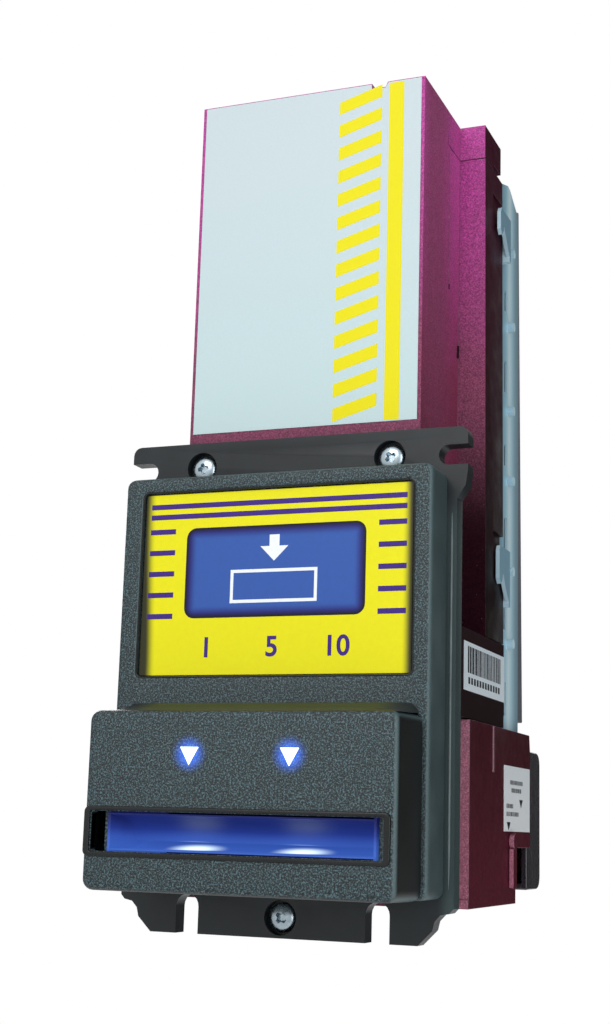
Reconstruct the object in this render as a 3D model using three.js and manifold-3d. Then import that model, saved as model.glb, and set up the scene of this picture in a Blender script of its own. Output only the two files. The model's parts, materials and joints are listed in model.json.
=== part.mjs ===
// Bill validator with an up-stacking bill magazine. Units are millimetres.
// X runs to the right seen from the front, Y runs to the rear, Z runs up. Heights in the dimension
// tables are measured up from the foot datum of the mounting tabs; the finished group is lowered by
// STUD_LINE, so the part's own origin lies midway between the two upper stud slots, on the front
// face of the mounting flange.
import * as THREE from "three";
import { mergeVertices } from "three/addons/utils/BufferGeometryUtils.js";
import Module from "manifold-3d";

const wasm = await Module();
wasm.setup();

// ---------------------------------------------------------------- driving dimensions

const STUD_LINE = 133.45; // height of the upper stud slots
const WALL = 2; // moulded wall
const FIT = 0.3; // gap between neighbouring mouldings
const SEAT = 0.1; // gap under a piece that rests on another
const OVER = 1; // how far a cutting tool runs past the face it cuts

const FLANGE = { half: 51.9, side: 48.9, top: 141.4, thick: 5.4, lobe: 128.8, neck: 121.1, foot: 9.8 };
const TAB = { half: 43.2, bottom: 1.2, chamfer: 4 };
const STUD = { upperX: 46.35, upperR: 2.85, lowerX: 28, lowerR: 3.4, lowerTop: 12 };
const SCREW = { x: 29.1, upper: 133.9, lower: 6.65, headR: 4, recessR: 4.7, recess: 3.1, shankR: 1.5, holeR: 1.75 };

const FRAME = { half: 46, front: -13.3, top: 128.5, bottom: 13.25, edge: 2 };
const WINDOW = { half: 40.5, bottom: 71.5, top: 123.7, sunk: 1, pocket: 1.9 };
const NOSE = { half: 43.6, front: -31.7, bottom: 13.1, top: 60.6, ledge: 63.9, edge: 2.2 };
const MOUTH = { half: 41, bottom: 23.3, top: 33.8, rimHalf: 43, rimBottom: 22, rimTop: 35, proud: 0.6 };
const GUIDE = { half: 37.7, front: -30.9, rear: 5, bottom: 23.6, top: 33.4, lip: 24.2, throat: -17, slotLow: 27.6,
  slotHigh: 29.6, level: -4 };
const LED = { x: 14.2, z: 48.4, w: 5.6, h: 5 };

const MAG = { half: 36.24, front: 5.6, rear: 43.5, bottom: 88.3, seam: 240, top: 251.3, lidFront: 30 };
const EAR = { halfTop: 44.4, halfLow: 45.3, front: 43.5, rear: 64.7, window: 24.5 };
const LID = { rear: 62.8, pinY: 58.4, pinZ: 247, pinR: 1.2 };

const HEAD = { half: 45.5, bottom: 62.6, top: 88, rear: 64.7, deck: 46 };
const LOWER = { half: 46, noseHalf: 43.3, front: 8.9, step: 25, rear: 97, top: 62.3, bottom: 10, notch: 78, notchZ: 26.7 };
const PATH = { low: 27.6, high: 29.6, bendY: 48.5, bendZ: 48.6, outerR: 21, innerR: 19, half: 41 };
const BLOCK = { half: 45, front: 97.3, rear: 115, bottom: 13.5, top: 57.5 };

const BELT = { x: 27, width: 6, y: 58, low: 74, high: 228, r: 8.5, thick: 0.9 };
const MOTOR = { y: 36, z: 74, r: 10, left: -34, right: 24, shaftR: 1.5 };
const GEARS = { left: 36, right: 40, pinionR: 4, idlerR: 5.6, driveR: 6.8, tooth: 1.5, module: 0.8 };
const ENTRY = { y: 36, z: 36.4, wheelR: 7.2, wheelX: 24, wheelW: 8, idlerR: 4.3, idlerZ: 24.4, shaftR: 2 };

const COVER = { half: 43.5, front: 65, rear: 90.5, bottom: 62.9, hingeX: -47.3, hingeY: 66.3 };
const CHUTE = { front: 69, thick: 1.5, half: 41, windowHalf: 24, low: 100, high: 232 };
const PUSHER = { half: 22, front: 69, thick: 2.5, low: 104, high: 225 };
const SCISSOR = { length: 100, lowZ: 110, fixedY: 81, plateY: 75, barW: 5, barT: 2, rodR: 1.2 };
const SECTOR = { r: 9, pinionR: 4, motorY: 79, motorZ: 96.9, x0: 21, x1: 23.5 };

const PLATE = { half: 33, front: 43.1, thick: 2, low: 92.5, high: 238 };
const SPRING = { rWall: 17, rPlate: 11, wire: 0.6, turns: 4.5, z: 165 };

const SIDE_SLOTS = [[223, 233], [199, 206], [171.5, 182], [147, 154], [119.5, 130], [94, 102], [67, 77.5]];
const SIDE_PINS = [220, 194.6, 166, 142.6, 113, 89.8];
const SIDE_HOOKS = [[217, 228], [104, 118]];

// ---------------------------------------------------------------- materials

const paint = (color, roughness, metalness = 0) => new THREE.MeshStandardMaterial({ color, roughness, metalness });
const CHARCOAL = paint(0x24282a, 0.62);
const PURPLE = paint(0x6b2452, 0.38);
const MAROON = paint(0x4a1228, 0.4);
const ICE = paint(0xa9c6d6, 0.4);
const GLOSS_BLACK = paint(0x16161d, 0.25);
const BLACK = paint(0x1b1b1e, 0.55);
const BLUE_GLASS = paint(0x2c49b4, 0.18);
const LENS = paint(0xdfeeff, 0.15);
const BOARD = paint(0x1e5a35, 0.5);
const PAPER = paint(0xd2e2e8, 0.55);
const ARTWORK = paint(0xf0e524, 0.35);
const STEEL = paint(0xb8bcc0, 0.3, 1);
const BRASS = paint(0xc8a24a, 0.35, 1);
const RUBBER = paint(0x26262a, 0.85);
const NYLON = paint(0xe6e2d6, 0.5);
const BUTTON_RED = paint(0xc03028, 0.45);

// ---------------------------------------------------------------- solid helpers

// Turns a closed geometry into a solid that booleans can work on.
function solid(geometry) {
  const g = geometry.index ? geometry.clone() : geometry;
  g.deleteAttribute("normal");
  g.deleteAttribute("uv");
  const m = mergeVertices(g, 1e-4);
  return new wasm.Manifold(new wasm.Mesh({
    numProp: 3,
    vertProperties: new Float32Array(m.attributes.position.array),
    triVerts: new Uint32Array(m.index.array),
  }));
}

const join = (...s) => s.reduce((a, b) => a.add(b));
const cut = (s, ...tools) => tools.reduce((a, b) => a.subtract(b), s);

function box(x0, x1, y0, y1, z0, z1) {
  const g = new THREE.BoxGeometry(x1 - x0, y1 - y0, z1 - z0);
  g.translate((x0 + x1) / 2, (y0 + y1) / 2, (z0 + z1) / 2);
  return solid(g);
}

// A box as wide to the left of the centre plane as to the right.
const band = (half, y0, y1, z0, z1) => box(-half, half, y0, y1, z0, z1);

function outline(points, holes = []) {
  const shape = new THREE.Shape(points.map(([a, b]) => new THREE.Vector2(a, b)));
  holes.forEach((h) => shape.holes.push(new THREE.Path(h.map(([a, b]) => new THREE.Vector2(a, b)))));
  return shape;
}

const AXIS_MAPS = {
  x: (u, v, w) => [w, u, v],
  y: (u, v, w) => [u, -w, v],
  z: (u, v, w) => [u, v, w],
};

// Extrudes an outline along an axis. The outline is drawn in YZ for x, in XZ for y and in XY for z.
function prism(axis, points, from, to, holes = [], edge = 0) {
  const g = new THREE.ExtrudeGeometry(outline(points, holes), {
    depth: to - from - 2 * edge,
    bevelEnabled: edge > 0,
    bevelThickness: edge,
    bevelSize: edge,
    bevelOffset: -edge,
    bevelSegments: 3,
    steps: 1,
  });
  const p = g.attributes.position;
  for (let i = 0; i < p.count; i++) {
    const w = axis === "y" ? p.getZ(i) - to + edge : p.getZ(i) + from + edge;
    p.setXYZ(i, ...AXIS_MAPS[axis](p.getX(i), p.getY(i), w));
  }
  return solid(g);
}

// A cylinder along an axis; the centre is given in the plane across that axis, in the same order
// as the outlines of prism.
function rod(axis, a, b, r, from, to, sides = 20) {
  return prism(axis, ring(a, b, r, sides), from, to);
}

function arc(a, b, r, start, end, steps) {
  const points = [];
  for (let i = 0; i <= steps; i++) {
    const t = THREE.MathUtils.degToRad(start + ((end - start) * i) / steps);
    points.push([a + r * Math.cos(t), b + r * Math.sin(t)]);
  }
  return points;
}

const ring = (a, b, r, sides) => arc(a, b, r, 0, 360, sides).slice(0, -1);

function roundedBox(half, z0, z1, r) {
  return [
    ...arc(half - r, z1 - r, r, 0, 90, 4),
    ...arc(-half + r, z1 - r, r, 90, 180, 4),
    ...arc(-half + r, z0 + r, r, 180, 270, 4),
    ...arc(half - r, z0 + r, r, 270, 360, 4),
  ];
}

// A block whose half width changes linearly with height.
function draftedBlock(halfLow, halfTop, y0, y1, z0, z1) {
  return prism("y", [[halfLow, z0], [halfTop, z1], [-halfTop, z1], [-halfLow, z0]], y0, y1);
}

function gear(y, z, r, x0, x1, bore, sides = 16) {
  const points = [];
  const teeth = Math.round((2 * r) / GEARS.module);
  const step = 360 / teeth;
  for (let i = 0; i < teeth; i++) {
    const spans = [[0, r - GEARS.tooth], [0.3, r - 0.12], [0.62, r - 0.12], [0.92, r - GEARS.tooth]];
    spans.forEach(([part, rr]) => points.push(arc(y, z, rr, (i + part) * step, 0, 1)[0]));
  }
  return prism("x", points, x0, x1, bore ? [ring(y, z, bore, sides).reverse()] : []);
}

// A loop belt round two wheels of equal radius.
function beltLoop(yA, zA, yB, zB, r, thick, x0, x1) {
  const along = THREE.MathUtils.radToDeg(Math.atan2(zB - zA, yB - yA));
  const loop = (rr) => [
    ...arc(yA, zA, rr, along + 90, along + 270, 14),
    ...arc(yB, zB, rr, along - 90, along + 90, 14),
  ];
  return prism("x", loop(r), x0, x1, [loop(r - thick).reverse()]);
}

// Wire coiled along Y with a radius that changes from one end to the other.
function coil(z, y0, y1, r0, r1, wire, turns) {
  const around = 6;
  const steps = Math.round(turns * 22);
  const at = (t) => {
    const a = t * turns * 2 * Math.PI;
    const r = r0 + (r1 - r0) * t;
    return new THREE.Vector3(r * Math.cos(a), y0 + (y1 - y0) * t, z + r * Math.sin(a));
  };
  const verts = [];
  const faces = [];
  for (let i = 0; i <= steps; i++) {
    const t = i / steps;
    const p = at(t);
    const d = at(t + 1e-3).sub(at(t - 1e-3)).normalize();
    const n = new THREE.Vector3(0, 1, 0).cross(d).normalize();
    const m = d.clone().cross(n);
    for (let k = 0; k < around; k++) {
      const a = (k * 2 * Math.PI) / around;
      const q = p.clone().addScaledVector(n, wire * Math.cos(a)).addScaledVector(m, wire * Math.sin(a));
      verts.push(q.x, q.y, q.z);
    }
  }
  for (let i = 0; i < steps; i++) {
    for (let k = 0; k < around; k++) {
      const a = i * around + k;
      const b = i * around + ((k + 1) % around);
      faces.push(a, b, b + around, a, b + around, a + around);
    }
  }
  for (let k = 1; k + 1 < around; k++) {
    faces.push(0, k + 1, k);
    const e = steps * around;
    faces.push(e, e + k, e + k + 1);
  }
  const g = new THREE.BufferGeometry();
  g.setAttribute("position", new THREE.Float32BufferAttribute(verts, 3));
  g.setIndex(faces);
  const made = solid(g);
  return made.volume() > 0 ? made : null;
}

const root = new THREE.Group();
root.name = "bill_validator";

function piece(name, made, material) {
  const m = made.getMesh();
  const g = new THREE.BufferGeometry();
  const v = new Float32Array(m.numVert * 3);
  for (let i = 0; i < m.numVert; i++) v.set(m.vertProperties.subarray(i * m.numProp, i * m.numProp + 3), i * 3);
  g.setAttribute("position", new THREE.BufferAttribute(v, 3));
  g.setIndex(new THREE.BufferAttribute(m.triVerts, 1));
  const flat = g.toNonIndexed();
  flat.computeVertexNormals();
  const mesh = new THREE.Mesh(flat, material);
  mesh.name = name;
  root.add(mesh);
}

const bothSides = (make) => join(make(1), make(-1));

// The X range from a to b on the given side of the centre plane.
const span = (side, a, b) => (side > 0 ? [a, b] : [-b, -a]);

// ---------------------------------------------------------------- bezel

function flangeOutline() {
  const right = [
    ...arc(FLANGE.half - 2.5, FLANGE.top - 2.5, 2.5, 90, 0, 4),
    [FLANGE.half, STUD_LINE + STUD.upperR],
    ...arc(STUD.upperX, STUD_LINE, STUD.upperR, 90, 270, 10),
    [FLANGE.half, STUD_LINE - STUD.upperR],
    [FLANGE.half, FLANGE.lobe],
    [FLANGE.half - 0.6, FLANGE.lobe - 4.2],
    [FLANGE.side, FLANGE.neck],
    [FLANGE.side, FLANGE.foot + 1.2],
    [FLANGE.side - 1.1, FLANGE.foot],
    [TAB.half + 2.2, FLANGE.foot - 0.5],
    [TAB.half + 0.6, FLANGE.foot - 2.2],
    [TAB.half, FLANGE.foot - 4.6],
    [TAB.half, TAB.bottom + TAB.chamfer],
    [TAB.half - TAB.chamfer, TAB.bottom],
    [STUD.lowerX + STUD.lowerR, TAB.bottom],
    ...arc(STUD.lowerX, STUD.lowerTop - STUD.lowerR, STUD.lowerR, 0, 180, 10),
    [STUD.lowerX - STUD.lowerR, TAB.bottom],
  ];
  const left = right.map(([x, z]) => [-x, z]).reverse();
  return [...right, ...left];
}

function triangleDown(x, z, w, h) {
  return [[x - w / 2, z + h / 2], [x, z - h / 2], [x + w / 2, z + h / 2]];
}

function screwSites() {
  return [["right", SCREW.x, SCREW.upper], ["left", -SCREW.x, SCREW.upper], ["lower", 0, SCREW.lower]];
}

function bezel() {
  const inner = FRAME.front + 2.4;
  const noseInner = NOSE.front + 2.4;
  let s = prism("y", flangeOutline(), 0, FLANGE.thick);
  const frameShape = roundedBox(FRAME.half, FRAME.bottom, FRAME.top, 2.5);
  s = join(s, prism("y", frameShape, FRAME.front, 4, [], FRAME.edge));
  const noseShape = roundedBox(NOSE.half, NOSE.bottom, NOSE.top, 3);
  s = join(s, prism("y", noseShape, NOSE.front, 0, [], NOSE.edge));
  const ledge = [[NOSE.front + 3, NOSE.top - 2.5], [FRAME.front + 0.5, NOSE.top - 2.5], [FRAME.front + 0.5, NOSE.ledge],
    [FRAME.front, NOSE.ledge], [NOSE.front + 3, NOSE.top - 0.2]];
  s = join(s, prism("x", ledge, -NOSE.half + 1, NOSE.half - 1));
  const rim = roundedBox(MOUTH.rimHalf, MOUTH.rimBottom, MOUTH.rimTop, 1.5);
  s = join(s, prism("y", rim, NOSE.front - MOUTH.proud, NOSE.front + 3, [], 0.4));
  s = cut(
    s,
    band(FRAME.half - 2.4, inner + WINDOW.pocket, FLANGE.thick + OVER, FRAME.bottom + 2.4, FRAME.top - 2.4),
    band(NOSE.half - 2.4, noseInner, inner + WINDOW.pocket + OVER, NOSE.bottom + 2.4, NOSE.top - 2),
    band(WINDOW.half, FRAME.front - OVER, FRAME.front + WINDOW.pocket, WINDOW.bottom, WINDOW.top),
    prism("y", roundedBox(MOUTH.half, MOUTH.bottom, MOUTH.top, 0.8), NOSE.front - 2, noseInner + OVER),
  );
  for (const side of [-1, 1]) {
    s = cut(s, prism("y", triangleDown(side * LED.x, LED.z, LED.w + 0.4, LED.h + 0.4), NOSE.front - OVER, noseInner + OVER));
  }
  for (const [, x, z] of screwSites()) {
    s = cut(
      s,
      rod("y", x, z, SCREW.recessR, -OVER, SCREW.recess, 24),
      rod("y", x, z, SCREW.holeR, 0, FLANGE.thick + OVER, 12),
    );
  }
  piece("bezel", s, CHARCOAL);
}

function decalPanel() {
  const y = FRAME.front + WINDOW.sunk;
  piece("decal_panel", band(WINDOW.half - 0.15, y, y + 0.8, WINDOW.bottom + 0.15, WINDOW.top - 0.15), ARTWORK);
}

// The two halves of the lit mouth. The upper one is a hollow curve that brings the note down to the slot at its
// foot, and from there the slot climbs to the level of the bill path.
function mouthGuides() {
  const { half, front, rear, bottom, top, lip, throat, slotLow, slotHigh, level } = GUIDE;
  const slot = slotHigh - slotLow;
  const bowl = [];
  for (let i = 0; i <= 12; i++) {
    const u = (Math.PI / 2) * (i / 12);
    bowl.push([front + (throat - front) * Math.sin(u), lip + slot + (top - 0.5 - lip - slot) * Math.cos(u)]);
  }
  const up = [[front, top], ...bowl, [level, slotHigh], [rear, slotHigh], [rear, top]];
  const low = [[front, bottom], [rear, bottom], [rear, slotLow], [level, slotLow], [throat, lip], [front, lip - 0.2]];
  piece("mouth_guide_upper", prism("x", up, -half, half), BLUE_GLASS);
  piece("mouth_guide_lower", prism("x", low, -half, half), BLUE_GLASS);
}

function statusLights() {
  for (const [name, side] of [["left", -1], ["right", 1]]) {
    const s = join(
      prism("y", triangleDown(side * LED.x, LED.z, LED.w, LED.h), NOSE.front + 0.2, NOSE.front + 3),
      box(side * LED.x - 4, side * LED.x + 4, NOSE.front + 2.5, NOSE.front + 3.5, LED.z - 3.5, LED.z + 3.5),
    );
    piece("status_lens_" + name, s, LENS);
  }
  const y = NOSE.front + 5.2;
  let board = band(34, y, y + 1.6, LED.z - 9, LED.z + 8);
  for (const side of [-1, 1]) {
    board = join(board, rod("y", side * LED.x, LED.z, 1.5, y - 1.2, y + 0.5, 16));
    board = join(board, box(side * 26 - 4, side * 26 + 4, y + 1, y + 5, LED.z - 6, LED.z));
  }
  piece("status_light_board", board, BOARD);
}

function bezelScrews() {
  for (const [name, x, z] of screwSites()) {
    const top = 0.35;
    const dome = [[0, 0], [SCREW.headR, 0], [SCREW.headR, 1.1], [SCREW.headR - 0.7, 1.9], [SCREW.headR - 1.8, 2.35], [0, 2.5]];
    const g = new THREE.LatheGeometry(dome.map(([r, h]) => new THREE.Vector2(r, h)), 24);
    g.applyMatrix4(new THREE.Matrix4().makeRotationX(Math.PI));
    g.translate(x, SCREW.recess - SEAT, z);
    let head = solid(g);
    if (head.volume() < 0) throw new Error("screw head is inside out");
    const y0 = SCREW.recess - SEAT - 2.5;
    head = cut(
      head,
      box(x - 2.2, x + 2.2, y0 - OVER, y0 + 1.3, z - 0.4, z + 0.4),
      box(x - 0.4, x + 0.4, y0 - OVER, y0 + 1.3, z - 2.2, z + 2.2),
    );
    const s = join(head, rod("y", x, z, SCREW.shankR, SCREW.recess - SEAT - top, 8, 12));
    piece("bezel_screw_" + name, s, STEEL);
  }
}

// ---------------------------------------------------------------- head

function headChassis() {
  const plateRear = MAG.front + 3;
  let s = cut(
    join(
      box(-43, 43, MAG.front, plateRear, LOWER.bottom + 4, HEAD.top),
      box(-18, 18, MAG.front, plateRear, TAB.bottom + 0.8, LOWER.bottom + 6),
    ),
    band(MOUTH.half, MAG.front - OVER, plateRear + OVER, MOUTH.rimBottom, MOUTH.rimTop + 1),
    rod("y", 0, SCREW.lower, SCREW.holeR, MAG.front - OVER, plateRear - 0.2, 12),
  );
  s = join(
    s,
    bothSides((side) => box(...span(side, 43.5, HEAD.half),
      MAG.front, HEAD.rear, HEAD.bottom, HEAD.top)),
    band(HEAD.half, MAG.front, HEAD.deck, HEAD.top - WALL, HEAD.top),
    box(-HEAD.half, HEAD.half, MAG.front, plateRear, HEAD.bottom, HEAD.top),
  );
  const post = (y, z, outer, inner, side, from, to) => cut(
    rod("x", y, z, outer, ...span(side, from, to), 20),
    rod("x", y, z, inner, ...span(side, from - OVER, to + OVER), 16),
  );
  s = join(s, bothSides((side) => cut(
    post(BELT.y, BELT.low, 4, 2.3, side, 41.4, 43.6),
  )));
  s = join(s, rod("x", MOTOR.y + GEARS.pinionR + GEARS.idlerR, MOTOR.z, 1.7, GEARS.left - 0.6, 43.6, 16));
  s = join(s, box(-36, -34.6, MOTOR.y - 11, MOTOR.y + 11, MOTOR.z - 8, HEAD.top - 1));
  s = cut(s, rod("x", MOTOR.y, MOTOR.z, 4, -36 - OVER, -34.6 + OVER, 20));
  s = cut(s, box(-HEAD.half - OVER, -43, 9, 28, 67, 79));
  piece("head_chassis", s, PURPLE);
}

function upperTrack() {
  const { high, bendY, bendZ, innerR } = PATH;
  const side = [[9.2, high], [bendY, high], ...arc(bendY, bendZ, innerR, -90, 0, 10), [bendY + innerR, 62.2], [9.2, 62.2]];
  const floor = high + WALL;
  const core = [[9.2 + WALL, floor], [bendY, floor], ...arc(bendY, bendZ, innerR - WALL, -90, 0, 10),
    [bendY + innerR - WALL, 64], [9.2 + WALL, 64]];
  const narrow = prism("x", side, -40.8, 40.8);
  let s = cut(narrow, prism("x", core, -38.8, 38.8));
  s = join(s, cut(
    band(40.8, PATH.bendY + PATH.innerR - 1, LOWER.rear, 60.2, 62.2),
    band(36, 67.5, 73, 59, 64),
  ));
  for (const sx of [-1, 1]) {
    s = cut(s, box(sx * ENTRY.wheelX - 4.6, sx * ENTRY.wheelX + 4.6, ENTRY.y - 8, ENTRY.y + 8, high - OVER, floor + OVER));
    for (const y of [18, 46]) s = join(s, box(sx * 33 - 2, sx * 33 + 2, y - 2, y + 2, floor - 0.5, 50.9));
  }
  s = join(s, box(-40.8, 40.8, LOWER.rear - 2, LOWER.rear, 56, 62.2));
  s = cut(s, rod("x", ENTRY.y, ENTRY.z, ENTRY.shaftR + 0.3, -42, 42, 16));
  piece("upper_track", s, BLACK);
}

function lowerTrack() {
  const { low, bendY, bendZ, outerR } = PATH;
  const rear = bendY + outerR;
  const side = [[11.4, 21], [rear + 2.2, 21], [rear + 2.2, 59.6], [rear, 59.6], ...arc(bendY, bendZ, outerR, 0, -90, 10),
    [bendY, low], [11.4, low]];
  let s = prism("x", side, -40.8, 40.8);
  s = cut(s, band(37, 14, rear - 6, 20, low - 2.6));
  const hollow = [[rear - 6.5, 20], [rear + 0.2, 20], [rear + 0.2, 38], [rear - 6.5, 27.5]];
  s = cut(s, prism("x", hollow, -37, 37));
  for (const sx of [-1, 1]) {
    s = cut(s, box(sx * ENTRY.wheelX - 4.6, sx * ENTRY.wheelX + 4.6, ENTRY.y - 6, ENTRY.y + 6, 20, low + OVER));
  }
  s = cut(s, rod("x", ENTRY.y, ENTRY.idlerZ, 1.8, -42, 42, 14));
  piece("lower_track", s, BLACK);
}

function lowerHousing() {
  const { half, noseHalf, front, step, rear, top, bottom, notch, notchZ } = LOWER;
  const side = [[step, bottom], [notch, bottom], [notch, notchZ], [rear, notchZ], [rear, top - 5], [rear - 1, top],
    [step, top]];
  const core = [[step + WALL, bottom + WALL], [notch - WALL, bottom + WALL], [notch - WALL, notchZ + WALL],
    [rear + OVER, notchZ + WALL], [rear + OVER, top + OVER], [step + WALL, top + OVER]];
  let s = join(prism("x", side, -half, half), band(noseHalf, front, step + 1, bottom + 0.6, top - 0.4));
  s = cut(
    s,
    prism("x", core, -half + WALL, half - WALL),
    band(noseHalf - WALL, front + 1.6, step + 4, bottom + 0.6 + WALL, top + OVER),
    band(40.9, front - OVER, front + 3, PATH.low - 3.5, top + OVER),
  );
  s = join(s, band(half, step, step + 1.6, bottom, 46).subtract(band(noseHalf - WALL, 0, 40, 0, 50)));
  for (const sx of [-1, 1]) {
    s = join(s, box(...span(sx, half - 0.5, half + 0.5), 50, 51.2, 48.7, top - 0.2));
    s = join(s, box(...span(sx, 40.9, 44.2), 30, 32, bottom + 1, 20.8));
  }
  s = join(s, band(half, step - 0.4, step + 1, bottom, bottom + 2.6).subtract(band(noseHalf - WALL, 0, 40, bottom + WALL, 50)));
  s = cut(
    s,
    box(24, 38, 62, 69, bottom - OVER, bottom + WALL + OVER),
    rod("z", 34, 88, 2.4, notchZ - OVER, notchZ + WALL + OVER, 20),
    rod("x", 71.5, 28.6, 1.8, half - 3, half + OVER, 16),
  );
  piece("lower_housing", s, MAROON);
}

function interfaceBlock() {
  const { half, front, rear, bottom, top } = BLOCK;
  const side = [[front, bottom], [rear - 6, bottom], ...arc(rear - 4, bottom + 4, 4, -90, 0, 4),
    ...arc(rear - 4, top - 4, 4, 0, 90, 4), [front, top]];
  const core = side.map(([y, z]) => [
    y <= front + 0.1 ? y - OVER : y - WALL * (y > (front + rear) / 2 ? 1 : 0),
    z < (bottom + top) / 2 ? z + WALL : z - WALL,
  ]);
  let s = cut(prism("x", side, -half, half), prism("x", core, -half + WALL, half - WALL));
  s = cut(s, box(-15, 15, front + 4.5, front + 12.5, bottom - OVER, bottom + WALL + OVER));
  piece("interface_cover", s, GLOSS_BLACK);
  let plug = cut(
    box(-14.6, 14.6, front + 4.8, front + 12.2, bottom + 0.6, bottom + 12),
    box(-13.2, 13.2, front + 6, front + 11, bottom, bottom + 9),
  );
  for (let i = 0; i < 8; i++) {
    const x = -11.2 + i * 3.2;
    plug = join(plug, box(x - 0.4, x + 0.4, front + 8.1, front + 8.9, bottom + 3, bottom + 11));
  }
  piece("interface_connector", plug, NYLON);
}

function electronics() {
  const z = 51;
  let board = band(37, 14, 62, z, z + 1.6);
  const chips = [[-22, 26, 14, 14, 1.6], [4, 24, 10, 7, 1.4], [20, 44, 12, 12, 1.5], [-18, 48, 8, 5, 1.8], [28, 24, 7, 9, 5]];
  for (const [x, y, w, d, h] of chips) {
    board = join(board, box(x - w / 2, x + w / 2, y - d / 2, y + d / 2, z + 1, z + 1.6 + h));
  }
  piece("main_board", board, BOARD);
  piece("flash_port", cut(
    box(24.4, 37.6, 62.4, 68.6, LOWER.bottom + 0.5, LOWER.bottom + 9),
    box(26, 36, 63.9, 67.1, LOWER.bottom - OVER, LOWER.bottom + 7),
  ), BLACK);
  const y = LOWER.notchZ;
  piece("diagnostic_button", join(
    rod("z", 34, 88, 2, y - 0.6, y + 6, 20),
    rod("z", 34, 88, 3.6, y + 2.6, y + 4, 20),
  ), BUTTON_RED);
  piece("service_board", join(box(18, 42, 79, 95, y + 8.4, y + 10), box(30, 38, 84, 92, y + 7.2, y + 9)), BOARD);
  const bus = cut(
    box(-45.2, -37, 9.4, 27.6, 67.4, 78.6),
    box(-46.2, -39, 11, 26, 69, 77),
  );
  let header = bus;
  for (let i = 0; i < 6; i++) {
    const yy = 12.5 + i * 2.4;
    header = join(header, box(-44, -38, yy - 0.35, yy + 0.35, 71.2, 71.9), box(-44, -38, yy - 0.35, yy + 0.35, 74.1, 74.8));
  }
  piece("bus_header", header, BLACK);
}

function releaseLatch() {
  const x0 = LOWER.half + 0.25;
  piece("release_latch", join(
    box(x0, x0 + 1.3, 69.4, 73.6, 14.8, 26.4),
    rod("x", 71.5, 28.6, 2.4, x0, x0 + 1.5, 20),
    box(x0, x0 + 1.1, 70.4, 72.6, 25, 28),
    rod("x", 71.5, 28.6, 1.5, LOWER.half - 2.6, x0 + 0.5, 16),
  ), MAROON);
}

// ---------------------------------------------------------------- transport drive

function transportDrive() {
  const { y, z, r, left, right, shaftR } = MOTOR;
  piece("transport_motor", cut(
    join(rod("x", y, z, r, left + 1, right, 28), rod("x", y, z, 3.6, left - 0.4, right + 1.2, 20)),
    rod("x", y, z, shaftR + 0.3, left - 2, right + 2, 16),
  ), STEEL);
  piece("motor_shaft", join(
    rod("x", y, z, shaftR, -43.1, GEARS.right + 0.4, 14),
    gear(y, z, GEARS.pinionR, GEARS.left, GEARS.right, 0),
    rod("x", y, z, 5, -43.1, -41.3, 24),
  ), BRASS);
  const idlerY = y + GEARS.pinionR + GEARS.idlerR;
  piece("idler_gear", gear(idlerY, z, GEARS.idlerR, GEARS.left, GEARS.right, 2), NYLON);
  const wheels = (zz) => bothSides((s) => rod("x", BELT.y, zz, BELT.r - BELT.thick - 0.15,
    s * (BELT.x + BELT.width / 2) - 3.2, s * (BELT.x + BELT.width / 2) + 3.2, 28));
  piece("drive_shaft", join(
    rod("x", BELT.y, BELT.low, 2, -42.9, 42.9, 16),
    wheels(BELT.low),
    gear(BELT.y, BELT.low, GEARS.driveR, GEARS.left, GEARS.right, 0),
  ), NYLON);
  piece("top_shaft", join(rod("x", BELT.y, BELT.high, 2, -42.3, 42.3, 16), wheels(BELT.high)), NYLON);
  for (const [name, s] of [["left", -1], ["right", 1]]) {
    const c = s * (BELT.x + BELT.width / 2);
    piece("bill_belt_" + name, beltLoop(BELT.y, BELT.low, BELT.y, BELT.high, BELT.r, BELT.thick,
      c - BELT.width / 2, c + BELT.width / 2), RUBBER);
  }
  piece("transfer_belt", beltLoop(ENTRY.y, ENTRY.z, y, z, 6.1, 0.9, -42.9, -41.5), RUBBER);
  piece("entry_shaft", join(
    rod("x", ENTRY.y, ENTRY.z, ENTRY.shaftR, -43.1, 40.4, 16),
    rod("x", ENTRY.y, ENTRY.z, 5, -43.1, -41.3, 24),
    bothSides((s) => rod("x", ENTRY.y, ENTRY.z, ENTRY.wheelR, s * ENTRY.wheelX - 4, s * ENTRY.wheelX + 4, 28)),
  ), RUBBER);
  piece("entry_idlers", join(
    rod("x", ENTRY.y, ENTRY.idlerZ, 1.5, -40.4, 40.4, 14),
    bothSides((s) => rod("x", ENTRY.y, ENTRY.idlerZ, ENTRY.idlerR, s * ENTRY.wheelX - 4, s * ENTRY.wheelX + 4, 22)),
  ), NYLON);
}

// ---------------------------------------------------------------- bill magazine

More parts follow.
